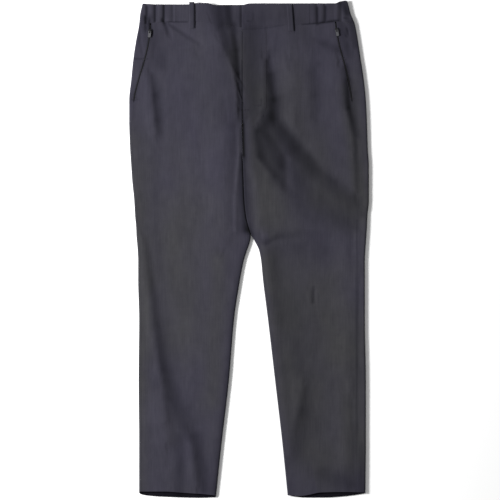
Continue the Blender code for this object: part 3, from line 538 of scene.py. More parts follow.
# Painted shade along the rounded side edges, where the cloth turns away from the light: the width of the band
# and the share of the colour lost at the edge. The inner edges take it only down the legs.
EdgePaintedShade = namedtuple("EdgePaintedShade", "name width share")
EDGE_PAINTED_SHADES = table(
    EdgePaintedShade,
    ("right_outer", 4, 0.25),
    ("right_inner", 8, 0.55),
    ("left_inner", 4, 0.25),
    ("left_outer", 3, 0.15),
)
EDGE_PAINTED_SHADE_START = 440.0

Gather = namedtuple("Gather", "across rise left right")
# Puckers of the elastic waist sections, each running down the section
GATHERS = table(
    Gather,
    (-204, -1.1, 3, 2.2),
    (-195.5, 0.5, 4, 4),
    (-187, -1.2, 3.4, 1.8),
    (-178.5, 0.6, 4, 4),
    (-169.5, -1.5, 3, 1.6),
    (-160.5, 0.5, 4, 4),
    (-151.5, -0.8, 3, 2),
    (-141, -0.3, 4, 2),
    (128, 0.3, 4, 4),
    (136.5, -1.0, 3, 1.6),
    (144.5, 0.5, 4, 4),
    (152.5, -1.2, 3, 1.6),
    (162, 0.4, 5, 5),
    (176, 0.9, 5, 3),
    (185, -1.1, 3.5, 2.5),
    (192, 0.4, 4, 4),
)

Ripple = namedtuple("Ripple", "rise across_size down_size seed")
# Slight unevenness of the cloth everywhere
RIPPLES = table(
    Ripple,
    (0.28, 26, 90, 1),
    (0.14, 11, 40, 2),
    (0.05, 4, 13, 3),
)

Loop = namedtuple("Loop", "name across_top across_foot top foot rests_on")
FRONT_LOOPS = table(
    Loop,
    ("belt_loop_front_right", -114.2, -113.8, 4.6, 57, "cloth_waistband_front_right"),
    ("belt_loop_front_left", 80.5, 84.5, 8.4, 62, "cloth_waistband_front_left"),
)
BACK_LOOPS = table(
    Loop,
    ("belt_loop_back_right", -112, -112, 10, 48, "floor"),
    ("belt_loop_back_centre", -6, -6, 10, 48, "floor"),
    ("belt_loop_back_left", 84, 84, 10, 48, "floor"),
)


# Reading the tables


def smooth_step(low, high, value):
    t = np.clip((value - low) / (high - low), 0, 1)
    return t * t * (3 - 2 * t)


def mix(a, b, t):
    return a + (b - a) * t


def read_curve(rows, key, value, at):
    """A smooth curve through a table's rows, read at every value of an array."""
    keys = np.array([getattr(row, key) for row in rows], float)
    values = np.array([getattr(row, value) for row in rows], float)
    at = np.clip(np.asarray(at, float), keys[0], keys[-1])
    span = np.diff(keys)
    rise = np.diff(values) / span
    together = rise[:-1] * rise[1:]
    total = np.where(together > 0, rise[:-1] + rise[1:], 1)
    between = np.where(together > 0, 2 * together / total, 0)
    i = np.clip(np.searchsorted(keys, at) - 1, 0, len(span) - 1)
    first = np.concatenate((rise[:1], between))[i]
    last = np.concatenate((between, rise[-1:]))[i]
    t = (at - keys[i]) / span[i]
    start = (1 + 2 * t) * (1 - t) ** 2 * values[i] + t * (1 - t) ** 2 * span[i] * first
    end = t * t * (3 - 2 * t) * values[i + 1] + t * t * (t - 1) * span[i] * last
    return start + end


def edge(name, down):
    return read_curve(SECTIONS, "down", name, down)


def line(rows, across):
    return read_curve(rows, "across", "down", across)


def place(across, down, height):
    across, down, height = np.broadcast_arrays(across, down, height)
    return np.stack((across, MIDDLE_DOWN - down, height), axis=-1) * MM


# Height of the upper layer


def ripple(across, down, across_size, down_size, seed):
    """Smooth random relief from -1 to 1, the same each run, with its own size across and down."""
    grid = np.random.default_rng(seed).uniform(-1, 1, (64, 64))
    u = across / across_size + 31.5
    v = down / down_size + 7.5
    column = np.floor(u).astype(int)
    row = np.floor(v).astype(int)
    u = smooth_step(0, 1, u - column)
    v = smooth_step(0, 1, v - row)
    near = mix(grid[row % 64, column % 64], grid[row % 64, (column + 1) % 64], u)
    far = mix(grid[(row + 1) % 64, column % 64], grid[(row + 1) % 64, (column + 1) % 64], u)
    return mix(near, far, v)


def beside_line(row, across, down):
    """How far along a row's line each point is, from 0 to 1, and how much of the row is left beside it."""
    run = row.to_across - row.across
    fall = row.to_down - row.down
    along = ((across - row.across) * run + (down - row.down) * fall) / (run * run + fall * fall)
    along = np.clip(along, 0, 1)
    beside = across - row.across - along * run
    below = down - row.down - along * fall
    width = np.where(beside * fall - below * run > 0, row.right, row.left)
    return along, np.exp(-(beside**2 + below**2) / width**2)


def relief(folds, across, down):
    """The folds' ridges less their troughs, joined so that a chain of folds doesn't double at its joints."""
    ridges = np.zeros(np.broadcast(across, down).shape)
    troughs = np.zeros_like(ridges)
    for fold in folds:
        share = (abs(fold.rise) * beside_line(fold, across, down)[1]) ** FOLD_BLEND
        if fold.rise > 0:
            ridges += share
        else:
            troughs += share
    return ridges ** (1 / FOLD_BLEND) - troughs ** (1 / FOLD_BLEND)


def grey_at(across, down):
    grey = np.zeros(np.broadcast(across, down).shape)
    for row in GREYS:
        along, left = beside_line(row, across, down)
        grey += (mix(row.grey, row.to_grey, along) * left) ** GREY_BLEND
    return grey ** (1 / GREY_BLEND)


def painted_shade_at(across, down):
    """Share by which the cloth is painted darker or lighter: painted shade and highlights from the rows, and
    painted shade along its rounded side edges.
    """
    lost = np.zeros(np.broadcast(across, down).shape)
    gained = np.zeros_like(lost)
    for row in PAINTED_SHADE_ROWS:
        along, left = beside_line(row, across, down)
        share = (abs(mix(row.dark, row.to_dark, along)) * left) ** PAINTED_SHADE_BLEND
        if row.dark > 0:
            lost += share
        else:
            gained += share
    painted_shade = gained ** (1 / PAINTED_SHADE_BLEND) - lost ** (1 / PAINTED_SHADE_BLEND)
    legs = smooth_step(EDGE_PAINTED_SHADE_START, EDGE_PAINTED_SHADE_START + 30, down)
    for name, width, share in EDGE_PAINTED_SHADES:
        near = share * np.exp(-(((across - edge(name, down)) / width) ** 2))
        painted_shade = painted_shade - near * (1 if name.endswith("outer") else legs)
    return painted_shade


def cloth_height(across, down):
    """Height of the upper face of the front cloth, without the fly's extra layers."""
    height = REST_HEIGHT + relief(FOLDS, across, down) + relief(CREASES, across, down)
    for outer in ("right_outer", "left_outer"):
        inset = np.abs(across - edge(outer, down))
        height = height + EDGE_SWELL * np.exp(-((inset / EDGE_SWELL_WIDTH) ** 2))
    for rise, *sizes in RIPPLES:
        height = height + rise * ripple(across, down, *sizes)
    room = height - LOWEST_HEIGHT
    return LOWEST_HEIGHT + 0.5 * (room + np.sqrt(room * room + FLOOR_SOFTNESS))


def fly_height(across, down):
    """Height of the wearer's left front, raised where the fly's layers lie under it."""
    fly_side = FLY_EDGE + FLY_WIDTH
    foot = FLY_FOOT - FLY_CURVE * smooth_step(FLY_EDGE + 8, fly_side, across)
    side = 1 - smooth_step(fly_side - FLY_STEP, fly_side + FLY_STEP, across)
    ended = smooth_step(foot - 2 * FLY_STEP, foot + FLY_STEP, down)
    return cloth_height(across, down) + FLY_RISE * side * (1 - ended)


def band_height(across, down):
    """Height of the waistband's upper face, with the puckers of its elastic sections."""
    height = cloth_height(across, down) + BAND_STEP
    for gather in GATHERS:
        apart = across - gather.across
        width = np.where(apart > 0, gather.right, gather.left)
        height = height + gather.rise * np.exp(-((apart / width) ** 2))
    return height


def overlap_height(across, down):
    height = mix(OVERLAP_HEIGHT, band_height(across, down), smooth_step(*OVERLAP_FADE, across))
    closure = 1.0
    for (low, high), at in ((CLOSURE_ACROSS, across), (CLOSURE_DOWN, down)):
        closure = closure * smooth_step(low, low + CLOSURE_EDGE, at)
        closure = closure * (1 - smooth_step(high - CLOSURE_EDGE, high, at))
    return height + CLOSURE_RISE * closure


def underlap_height(across, down):
    return mix(band_height(across, down), UNDERLAP_HEIGHT, smooth_step(*UNDERLAP_FADE, across))


def back_lift(across):
    apart = np.min([np.abs(across - loop.across_top) for loop in BACK_LOOPS], axis=0)
    near, far = BACK_LOOP_ROOM
    return BACK_LOOP_LIFT * (1 - smooth_step(LOOP_WIDTH / 2 + near, LOOP_WIDTH / 2 + far, apart))


# Sections across a leg. In every array a row is a section and a column a point of it.

Leg = namedtuple("Leg", "outer inner seam sign height waist")
LEGS = {
    "right": Leg("right_outer", "right_inner", "right_seam", 1, cloth_height, SEAM_RIGHT),
    "left": Leg("left_outer", "left_inner", "left_seam", -1, fly_height, SEAM_LEFT),
}


def tube_share(down):
    return smooth_step(CROTCH_DOWN, LEG_DOWN, down)


def slot_half(down):
    opened = smooth_step(SLOT_TOP - SLOT_START, SLOT_TOP, down)
    ended = smooth_step(SLOT_FOOT, SLOT_FOOT + SLOT_END, down)
    return mix(HALF_GAP, SLOT_HALF, opened * (1 - ended))


def bend(leg, across, down, upper):
    """Shifts a level row so that the first follows the waist seam and the last the hem line."""
    seam = mix(BACK_SEAM, line(leg.waist, across), upper)
    hem = mix(line(HEM_BACK, across), line(HEM_FRONT, across), upper)
    near_top = 1 - smooth_step(PANEL_TOP, PANEL_TOP + BEND_REACH_TOP, down)
    near_hem = smooth_step(HEM_NOMINAL - BEND_REACH_HEM, HEM_NOMINAL, down)
    return down + (seam + HALF_GAP - PANEL_TOP) * near_top + (hem - HEM_NOMINAL) * near_hem


def wall(down):
    hem_top = HEM_NOMINAL - HEM_DEPTH
    return mix(CLOTH, HEM_CLOTH, smooth_step(hem_top - HEM_RAMP, hem_top, down))


def graded(middle):
    """Shares from 0 to 1, close together at both ends and even between them."""
    ends = np.array([0, 0.003, 0.007, 0.012, 0.019, 0.028])
    return np.concatenate((ends, np.linspace(0.04, 0.96, middle), 1 - ends[::-1]))


def column(values):
    return np.asarray(values, float)[:, None]


def fold_sizes(leg, down, inset_of_edge, direction):
    """Half height and depth of the rounded fold whose outermost point is at inset_of_edge."""
    across = edge(leg.outer, down) + leg.sign * (inset_of_edge + direction * FOLD_PROBE)
    half = leg.height(across, down) / 2
    return half, half * FOLD_ROUNDNESS


def curl(inner_depth, width, share, turns):
    """Insets of the points that go on round the inner fold, or straight on where the panel lies flat."""
    return width - inner_depth + inner_depth * mix(turns, np.sin(turns * math.pi / 2), share)


def half_round(depth, height):
    """The side fold from a height down to the underside: insets, heights and upper shares."""
    angle = math.pi / 2 - math.pi * np.linspace(0, 1, TURN_COLUMNS)[None, 1:]
    turn = depth * (1 - np.cos(angle))
    return turn, height / 2 + height / 2 * np.sin(angle), (1 + np.sin(angle)) / 2 + 0 * turn


def front_section(leg, down):
    down = column(down)
    outer = edge(leg.outer, down)
    seam = np.abs(edge(leg.seam, down) - outer) + slot_half(down)
    width = np.abs(edge(leg.inner, down) - outer) - HALF_GAP
    half, depth = fold_sizes(leg, down, width, -1)
    share = tube_share(down)
    flat = mix(seam, width - depth, graded(FLAT_COLUMNS)[None, :])
    flat_height = leg.height(outer + leg.sign * flat, down)
    turns = np.linspace(0, 1, CURL_COLUMNS)[None, 1:]
    inset = curl(depth, width, share, turns)
    level = leg.height(outer + leg.sign * inset, down)
    middle = half + HALF_GAP
    curled = middle + (flat_height[:, -1:] - middle) * np.cos(turns * math.pi / 2)
    insets = np.concatenate((flat, inset), axis=1)
    heights = np.concatenate((flat_height, mix(level, curled, share)), axis=1)
    return insets, heights, np.ones_like(insets)


def back_section(leg, down):
    down = column(down)
    outer = edge(leg.outer, down)
    seam = np.abs(edge(leg.seam, down) - outer) - slot_half(down)
    width = np.abs(edge(leg.inner, down) - outer) - HALF_GAP
    inner_half, inner_depth = fold_sizes(leg, down, width, -1)
    _, depth = fold_sizes(leg, down, 0 * width, 1)
    depth = np.minimum(depth, seam - 0.4)
    share = tube_share(down)
    wrap = mix(seam, depth, np.linspace(0, 1, WRAP_COLUMNS)[None, :])
    wrap_height = leg.height(outer + leg.sign * wrap, down)
    turn, turn_height, turn_upper = half_round(depth, wrap_height[:, -1:])
    under = mix(depth, width - inner_depth, np.linspace(0, 1, UNDER_COLUMNS)[None, 1:])
    turns = np.linspace(0, 1, CURL_COLUMNS)[None, 1:]
    inset = curl(inner_depth, width, share, turns)
    curled = (inner_half - HALF_GAP) * (1 - np.cos(turns * math.pi / 2)) * share
    insets = np.concatenate((wrap, turn, under, inset), axis=1)
    heights = np.concatenate((wrap_height, turn_height, 0 * under, curled), axis=1)
    upper = np.concatenate((np.ones_like(wrap), turn_upper, 0 * under, 0 * inset), axis=1)
    return insets, heights, upper


def inside(insets, heights, thickness, turn, share):
    """The wall's inner points, each moved square to the section by the wall's thickness."""
    run = np.empty_like(insets)
    rise = np.empty_like(insets)
    for target, source in ((run, insets), (rise, heights)):
        target[:, 1:-1] = source[:, 2:] - source[:, :-2]
        target[:, 0] = source[:, 1] - source[:, 0]
        target[:, -1] = source[:, -1] - source[:, -2]
    length = np.hypot(run, rise)
    moved_insets = insets - turn * rise / length * thickness
    moved_heights = heights + turn * run / length * thickness
    lean = share[:, 0] * math.pi / 2
    held = lean > 0
    end_insets = insets[:, -1] - np.sin(lean) * thickness[:, 0]
    end_heights = heights[:, -1] + turn * np.cos(lean) * thickness[:, 0]
    moved_insets[held, -1] = end_insets[held]
    moved_heights[held, -1] = end_heights[held]
    return moved_insets, moved_heights


# Making meshes


def grid_faces(rows, columns, offset):
    r, c = np.meshgrid(np.arange(rows - 1), np.arange(columns - 1), indexing="ij")
    first = offset + r * columns + c
    return np.stack((first, first + 1, first + columns + 1, first + columns), axis=-1).reshape(-1, 4)


def border(rows, columns):
    """Indices of a grid's rim, in order round it."""
    top = np.arange(columns)
    right = np.arange(1, rows) * columns + columns - 1
    bottom = (rows - 1) * columns + np.arange(columns - 2, -1, -1)
    left = np.arange(rows - 2, 0, -1) * columns
    return np.concatenate((top, right, bottom, left))


def add_object(name, data):
    made = bpy.data.objects.new(name, data)
    bpy.context.collection.objects.link(made)
    return made


def shell(name, outer, inner, face_material, inner_material=None):
    """A closed wall between two grids of points of the same size."""
    rows, columns = outer.shape[:2]
    count = rows * columns
    rim = border(rows, columns)
    following = np.roll(rim, -1)
    sides = np.stack((rim, following, following + count, rim + count), axis=-1)
    faces = np.concatenate((grid_faces(rows, columns, 0), grid_faces(rows, columns, count), sides))
    points = np.concatenate((outer.reshape(-1, 3), inner.reshape(-1, 3)))
    mesh = bpy.data.meshes.new(name)
    mesh.from_pydata(points.tolist(), [], faces.tolist())
    inner_count = (rows - 1) * (columns - 1)
    slots = np.zeros(len(faces), int)
    slots[inner_count : 2 * inner_count] = 1
    mesh.materials.append(face_material)
    mesh.materials.append(inner_material or face_material)
    mesh.polygons.foreach_set("material_index", slots)
    work = bmesh.new()
    work.from_mesh(mesh)
    bmesh.ops.recalc_face_normals(work, faces=work.faces)
    work.to_mesh(mesh)
    work.free()
    mesh.polygons.foreach_set("use_smooth", [True] * len(mesh.polygons))
    mesh.set_sharp_from_angle(angle=math.radians(50))
    across = points[:, 0] / MM
    down = MIDDLE_DOWN - points[:, 1] / MM
    # Each point stores the painted shade and highlights of its place, and its share of grey
    for layer, values in (("painted_shade", painted_shade_at(across, down)), ("grey", grey_at(across, down))):
        mesh.attributes.new(layer, "FLOAT", "POINT").data.foreach_set("value", values)
    return add_object(name, mesh)


Cut = namedtuple("Cut", "width length area", defaults=(None,))


def dress(piece):
    """Puts a cloth piece in the place of the solid that it is named after."""
    node = piece.name.removeprefix("cloth_")
    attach(piece, BODY)
    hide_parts(node)


# Materials


class Graph:
    """Short calls for adding and joining a material's nodes."""

    def __init__(self, name):
        self.material = bpy.data.materials.new(name)
        self.material.use_nodes = True
        self.tree = self.material.node_tree
        self.where = self.tree.nodes.new("ShaderNodeTexCoord").outputs["Object"]

    def feed(self, node, values):
        """Sets a node's inputs to numbers and colours, or joins them to other nodes' outputs."""
        for name, value in values.items():
            socket = node.inputs[name]
            if isinstance(value, bpy.types.NodeSocket):
                self.tree.links.new(value, socket)
            elif socket.type == "RGBA":
                socket.default_value = (*value, 1)
            else:
                socket.default_value = value

    def add(self, kind, output, values, **settings):
        made = self.tree.nodes.new("ShaderNode" + kind)
        for name, value in settings.items():
            setattr(made, name, value)
        self.feed(made, values)
        return made.outputs[output]

    def noise(self, scale, detail):
        """Noise whose grains are 1/scale metres long on each axis."""
        where = self.add("Mapping", "Vector", {"Vector": self.where, "Scale": scale})
        return self.add("TexNoise", "Fac", {"Vector": where, "Scale": 1, "Detail": detail})

    def bands(self, pitch, turn):
        """Even bands of the given pitch in metres, turned about the vertical."""
        where = self.add("Mapping", "Vector", {"Vector": self.where, "Rotation": (0, 0, turn)})
        values = {"Vector": where, "Scale": math.pi / 10 / pitch, "Distortion": 0.6}
        return self.add("TexWave", "Fac", values)

    def attribute(self, name):
        return self.add("Attribute", "Fac", {}, attribute_name=name)

    def math(self, operation, first, second):
        return self.add("Math", 0, {0: first, 1: second}, operation=operation)

    def stretch(self, value, low, high, to_low, to_high):
        ends = {"From Min": low, "From Max": high, "To Min": to_low, "To Max": to_high}
        return self.add("MapRange", 0, {"Value": value, **ends})

    def blend(self, factor, first, second, kind="MIX"):
        values = {0: factor, 6: first, 7: second}
        return self.add("Mix", 2, values, data_type="RGBA", blend_type=kind)

    def mottle(self, factor, colour, share):
        """A colour that goes down to a share of itself."""
        return self.blend(factor, tuple(share * c for c in colour), colour)

    def bump(self, height, distance, strength):
        values = {"Height": height, "Distance": distance, "Strength": strength}
        return self.add("Bump", "Normal", values)

    def finish(self, look):
        self.feed(self.tree.nodes["Principled BSDF"], look)
        return self.material


# Grains of the twill, in grains to the metre on each axis, and its diagonal rib
DRIFT_GRAIN = (16, 9, 16)
WARP_GRAIN = (640, 24, 640)
WEFT_GRAIN = (26, 620, 620)
CLOUD_GRAIN = (70, 40, 70)
RIB_PITCH = 0.0011
RIB_LEAN = math.radians(34)


def twill(name, cool, neutral, gloss=0.12, sheen=0.08):
    """Slubby twill: long warp slubs down the cloth, finer weft ones, a drift from indigo to grey, and the
    painted shade and highlights stored on the points.
    """
    graph = Graph(name)
    drift = graph.stretch(graph.noise(DRIFT_GRAIN, 3), 0.35, 0.7, 0, 0.3)
    drift = graph.math("ADD", drift, graph.attribute("grey"))
    warp = graph.noise(WARP_GRAIN, 3)
    weft = graph.noise(WEFT_GRAIN, 2)
    cloud = graph.noise(CLOUD_GRAIN, 3)
    rib = graph.bands(RIB_PITCH, RIB_LEAN)
    shade = graph.stretch(warp, 0.25, 0.75, 0.88, 1.12)
    for grain, low, high, depth in ((weft, 0.25, 0.75, 0.07), (cloud, 0.3, 0.7, 0.09), (rib, 0, 1, 0.05)):
        shade = graph.math("ADD", shade, graph.stretch(grain, low, high, -depth, depth))
    # Painted shade and highlights: the colour is multiplied by one plus the points' stored share
    shade = graph.math("MULTIPLY", shade, graph.math("ADD", graph.attribute("painted_shade"), 1.0))
    # Darker parts, most of all the painted shade, keep more of the blue
    blue = graph.math("POWER", shade, 0.86)
    shade = graph.add("CombineColor", 0, {0: shade, 1: shade, 2: blue})
    height = graph.math("ADD", rib, graph.math("MULTIPLY", warp, 1.4))
    look = {
        "Base Color": graph.blend(1.0, graph.blend(drift, cool, neutral), shade, "MULTIPLY"),
        "Roughness": graph.stretch(weft, 0.3, 0.7, 0.82, 0.96),
        "Normal": graph.bump(height, 0.00012, 0.5),
        "Specular IOR Level": gloss,
        "Sheen Weight": sheen,
        "Sheen Roughness": 0.5,
    }
    return graph.finish(look)


def plain_cloth(name, colour, pitch):
    """A close plain weave."""
    graph = Graph(name)
    weave = graph.math("MULTIPLY", graph.bands(pitch, 0.0), graph.bands(pitch, math.pi / 2))
    look = {
        "Base Color": graph.mottle(graph.noise((90, 60, 90), 3), colour, 0.7),
        "Normal": graph.bump(weave, 0.0001, 0.5),
        "Roughness": 0.92,
        "Specular IOR Level": 0.1,
    }
    return graph.finish(look)


def thread(name, colour):
    graph = Graph(name)
    lay = graph.bands(0.0004, math.radians(30))
    look = {
        "Base Color": graph.mottle(lay, colour, 0.6),
        "Normal": graph.bump(lay, 0.00005, 0.6),
        "Roughness": 0.7,
        "Specular IOR Level": 0.15,
    }
    return graph.finish(look)


def metal(name, colour):
    """Dark plated metal, with faint scratches and patches."""
    graph = Graph(name)
    scratches = graph.noise((300, 2600, 900), 4)
    look = {
        "Base Color": graph.mottle(graph.noise((420, 420, 420), 3), colour, 0.55),
        "Roughness": graph.stretch(scratches, 0.3, 0.7, 0.25, 0.5),
        "Normal": graph.bump(scratches, 0.00002, 0.3),
        "Metallic": 1.0,
    }
    return graph.finish(look)


COOL = (0.0284, 0.0266, 0.0398)
NEUTRAL = (0.0299, 0.0294, 0.0329)
CLOTH_LOOK = twill("slate_indigo_twill", COOL, NEUTRAL)
BAND_LOOK = twill("slate_indigo_band", (0.0258, 0.0242, 0.0362), (0.0273, 0.0266, 0.0310))
# The inside faces, seen at the hems, are near black: painted shade for the shadowed inside of the legs
INNER_SHADE_LOOK = twill("twill_inside_painted_shade", (0.0052, 0.0046, 0.0075), (0.0056, 0.0052, 0.0066), 0.04, 0.0)
BAG_LOOK = plain_cloth("pocket_cloth", (0.03, 0.03, 0.036), 0.0006)
TAPE_LOOK = plain_cloth("zip_tape", (0.010, 0.010, 0.012), 0.0008)
COIL_LOOK = thread("zip_coil", (0.008, 0.008, 0.009))
THREAD_LOOK = thread("dark_thread", (0.030, 0.028, 0.038))
METAL_LOOKS = {
    "pocket_slider_": metal("black_nickel", (0.06, 0.06, 0.066)),
    "pocket_pull_": metal("worn_black_nickel", (0.24, 0.24, 0.26)),
}


# Panels


def panel(name, side, section, turn, rows):
    leg = LEGS[side]
    down = column(rows)
    insets, heights, upper = section(leg, rows)
    start = edge(leg.outer, down)
    level = bend(leg, start + leg.sign * insets, down, upper)
    within = inside(insets, heights, wall(down), turn, tube_share(down))
    outer = place(start + leg.sign * insets, level, heights)
    inner = place(start + leg.sign * within[0], level, within[1])
    return shell(name, outer, inner, CLOTH_LOOK, INNER_SHADE_LOOK)


def panel_rows(step):
    """Rows of a panel, closer together at the waist seam and at the turned hem."""
    top = PANEL_TOP + np.array([0, 1, 2, 3.2, 4.6])
    foot = HEM_NOMINAL - np.array([4.5, 3, 1.8, 0.8, 0])
    count = round((foot[0] - top[-1]) / step)
    return np.concatenate((top, np.linspace(top[-1], foot[0], count)[1:-1], foot))


for side in ("right", "left"):
    made = panel("cloth_front_" + side, side, front_section, -1, panel_rows(3.0))
    dress(made)
    made = panel("cloth_back_" + side, side, back_section, 1, panel_rows(3.5))
    dress(made)


# Waistband


def crown(share):
    """The band's edges are turned in, so its face drops a little at them."""
    return -BAND_DROP * (1 - smooth_step(0, BAND_TURN, np.minimum(share, 1 - share)))


def front_band(node, start, end, height, seam):
    across = np.linspace(start, end, round((end - start) / 1.5))[None, :]
    share = column(graded(20))
    down = mix(line(TOP_LINE, across), line(seam, across) - HALF_GAP, share)
    level = height(across, down)
    ends = np.minimum(across - start, end - across)
    roll = -BAND_ROLL * np.exp(-(ends**2))
    outer = place(across, down, level + crown(share) + roll)
    inner = place(across, down, level - BAND)
    made = shell("cloth_" + node, outer, inner, BAND_LOOK)
    dress(made)


def back_band():
    across = np.linspace(ELASTIC_BACK_RIGHT + HALF_GAP, ELASTIC_BACK_LEFT - HALF_GAP, 140)[None, :]
    share = column(graded(14))
    down = mix(BACK_TOP, BACK_SEAM - HALF_GAP, share) + 0 * across
    lift = back_lift(across)
    outer = place(across, down, lift + 0 * down)
    inner = place(across, down, lift + BAND + crown(share))
    made = shell("cloth_waistband_back", outer, inner, BAND_LOOK)
    dress(made)


def elastic(side, front_end, back_end):
    leg = LEGS[side]
    share = column(graded(22))
    nominal = mix(ELASTIC_TOP, PANEL_TOP - HALF_GAP, share)
    outer_edge = edge(leg.outer, nominal)
    front_inset = np.abs(front_end - outer_edge) - HALF_GAP
    back_inset = np.abs(back_end - outer_edge) - HALF_GAP
    half = band_height(outer_edge + leg.sign * FOLD_PROBE, nominal) / 2
    depth = half * FOLD_ROUNDNESS
    over = mix(front_inset, depth, np.linspace(0, 1, 60)[None, :])
    over_height = band_height(outer_edge + leg.sign * over, nominal)
    turn, turn_height, turn_upper = half_round(depth, over_height[:, -1:])
    under = mix(depth, back_inset, np.linspace(0, 1, 16)[None, 1:])
    insets = np.concatenate((over, turn, under), axis=1)
    heights = np.concatenate((over_height, turn_height, 0 * under), axis=1)
    upper = np.concatenate((np.ones_like(over), turn_upper, 0 * under), axis=1)
    across = outer_edge + leg.sign * insets
    top = mix(BACK_TOP, line(TOP_LINE, across), upper)
    foot = mix(BACK_SEAM, line(leg.waist, across), upper) - HALF_GAP
    within = inside(insets, heights, BAND + 0 * nominal, 1, 0 * nominal)
    down = mix(top, foot, share)
    outer = place(across, down, heights)
    inner = place(outer_edge + leg.sign * within[0], down, within[1])
    made = shell("cloth_side_elastic_" + side, outer, inner, BAND_LOOK)
    dress(made)


front_band(
    "waistband_front_right",
    ELASTIC_FRONT_RIGHT + HALF_GAP,
    UNDERLAP_END,
    underlap_height,
    SEAM_RIGHT,
)
front_band(
    "waistband_front_left",
    OVERLAP_EDGE,
    ELASTIC_FRONT_LEFT - HALF_GAP,
    overlap_height,
    SEAM_LEFT,
)
back_band()
elastic("right", ELASTIC_FRONT_RIGHT, ELASTIC_BACK_RIGHT)
elastic("left", ELASTIC_FRONT_LEFT, ELASTIC_BACK_LEFT)


# Belt loops


def front_loop(loop):
    share = column(graded(24))
    offset = np.array([-0.5, -0.47, -0.42, -0.3, -0.15, 0, 0.15, 0.3, 0.42, 0.47, 0.5])[None, :]
    down = mix(loop.top, loop.foot, share)
    middle = mix(loop.across_top, loop.across_foot, share)
    bow = FRONT_LOOP_BOW * np.sin(math.pi * np.clip(share, 0.0001, 0.9999)) ** 0.7
    bottom = band_height(middle, down) + FRONT_LOOP_CLEAR + bow
    rounding = LOOP_ROUNDING * smooth_step(0.4, 0.5, np.abs(offset)) ** 2
    rib = LOOP_RIB * np.exp(-(((np.abs(offset) - LOOP_RIB_AT) / LOOP_RIB_WIDTH) ** 2))
    across = middle + offset * LOOP_WIDTH
    outer = place(across, down, bottom + LOOP_WALL - rounding - rib)
    inner = place(across, down, bottom)
    made = shell("cloth_" + loop.name, outer, inner, BAND_LOOK)
    dress(made)


def back_loop(loop):
    share = column(graded(10))
    offset = np.linspace(-0.5, 0.5, 9)[None, :]
    down = mix(loop.top, loop.foot, share) + 0 * offset
    across = loop.across_top + offset * LOOP_WIDTH
    outer = place(across, down, 0)
    inner = place(across, down, BACK_LOOP_WALL)
    made = shell("cloth_" + loop.name, outer, inner, BAND_LOOK)
    dress(made)


for loop in FRONT_LOOPS:
    front_loop(loop)
for loop in BACK_LOOPS:
    back_loop(loop)


# Pieces that hardly show: the pocket zips, the pocket bags and the fly shield


def lowest_near(height, across, down):
    """The lowest that the cloth gets close by, so that a hidden strip clears its underside."""
    around = ((0, 0), (-NEAR_ACROSS, 0), (NEAR_ACROSS, 0), (0, -NEAR_DOWN), (0, NEAR_DOWN))
    return np.min([height(across + x, down + y) for x, y in around], axis=0)


def under_sheet(node, leg, across, down, top, thickness, look):
    level = bend(leg, across, down, 1)
    return shell("cloth_" + node, place(across, level, top), place(across, level, top - thickness), look)


def zip_tape(side):
    """The tape under the slit's edges, and its coil of small teeth standing in the slit."""
    leg = LEGS[side]
    down = column(np.linspace(SLOT_TOP, SLOT_FOOT + SLOT_END + ZIP_TAIL, 60))
    middle = edge(leg.seam, down)
    beside = np.minimum(TAPE_HALF, np.abs(middle - edge(leg.outer, down)) - FOLD_ROOM)
    offset = np.linspace(0, 1, 9)[None, :] * (beside + TAPE_HALF) - beside
    floor = np.min([lowest_near(leg.height, middle + x, down) for x in (-TAPE_HALF, 0, TAPE_HALF)], axis=0)
    floor = floor - CLOTH - HIDDEN_GAP
    across = middle + leg.sign * offset
    made = under_sheet("pocket_zip_" + side, leg, across, down, floor + 0 * across, TAPE_WALL, TAPE_LOOK)
    dress(made)
    down = column(np.arange(SLOT_TOP + 1, SLOT_FOOT, COIL_PITCH / 5))
    middle = edge(leg.seam, down)
    tooth = 0.5 + 0.5 * np.cos(2 * math.pi * down / COIL_PITCH)
    offset = np.array([-1, -0.86, -0.6, -0.2, 0.2, 0.6, 0.86, 1])[None, :] * COIL_HALF
    lift = np.array([0, 0.6, 0.92, 1, 1, 0.92, 0.6, 0])[None, :]
    base = leg.height(middle, down)
    crest = base - COIL_FOOT + (COIL_FOOT - COIL_DROP) * lift * (0.45 + 0.55 * tooth)
    foot = base - COIL_FOOT - 0.5 + 0 * crest
    across = middle + offset
    level = bend(leg, across, down, 1)
    coil = shell("zip_coil_" + side, place(across, level, crest), place(across, level, foot), COIL_LOOK)
    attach(coil, BODY)


def pocket_bag(side):
    leg = LEGS[side]
    down = column(np.linspace(BAG_TOP, BAG_FOOT, 60))
    start = edge(leg.seam, np.minimum(down, SLOT_FOOT)) + leg.sign * (TAPE_HALF + 0.3)
    width = BAG_WIDTH * (1 - BAG_TAPER * smooth_step(SLOT_FOOT, BAG_FOOT, down))
    across = start + leg.sign * width * np.linspace(0, 1, 30)[None, :]
    top = (lowest_near(cloth_height, across, down) + BAG_WALL) / 2
    made = under_sheet("pocket_bag_" + side, leg, across, down, top, BAG_WALL, BAG_LOOK)
    dress(made)


def fly_shield():
    down = column(np.linspace(SHIELD_TOP, SHIELD_FOOT, 50))
    across = np.linspace(SHIELD_FROM, SHIELD_TO, 16)[None, :] + 0 * down
    top = lowest_near(cloth_height, across, down) - CLOTH - HIDDEN_GAP
    made = under_sheet("fly_shield", LEGS["right"], across, down, top, SHIELD_WALL, CLOTH_LOOK)
    dress(made)


for side in ("right", "left"):
    zip_tape(side)
    pocket_bag(side)
fly_shield()


# Stitching, dark thread that hardly differs from the cloth


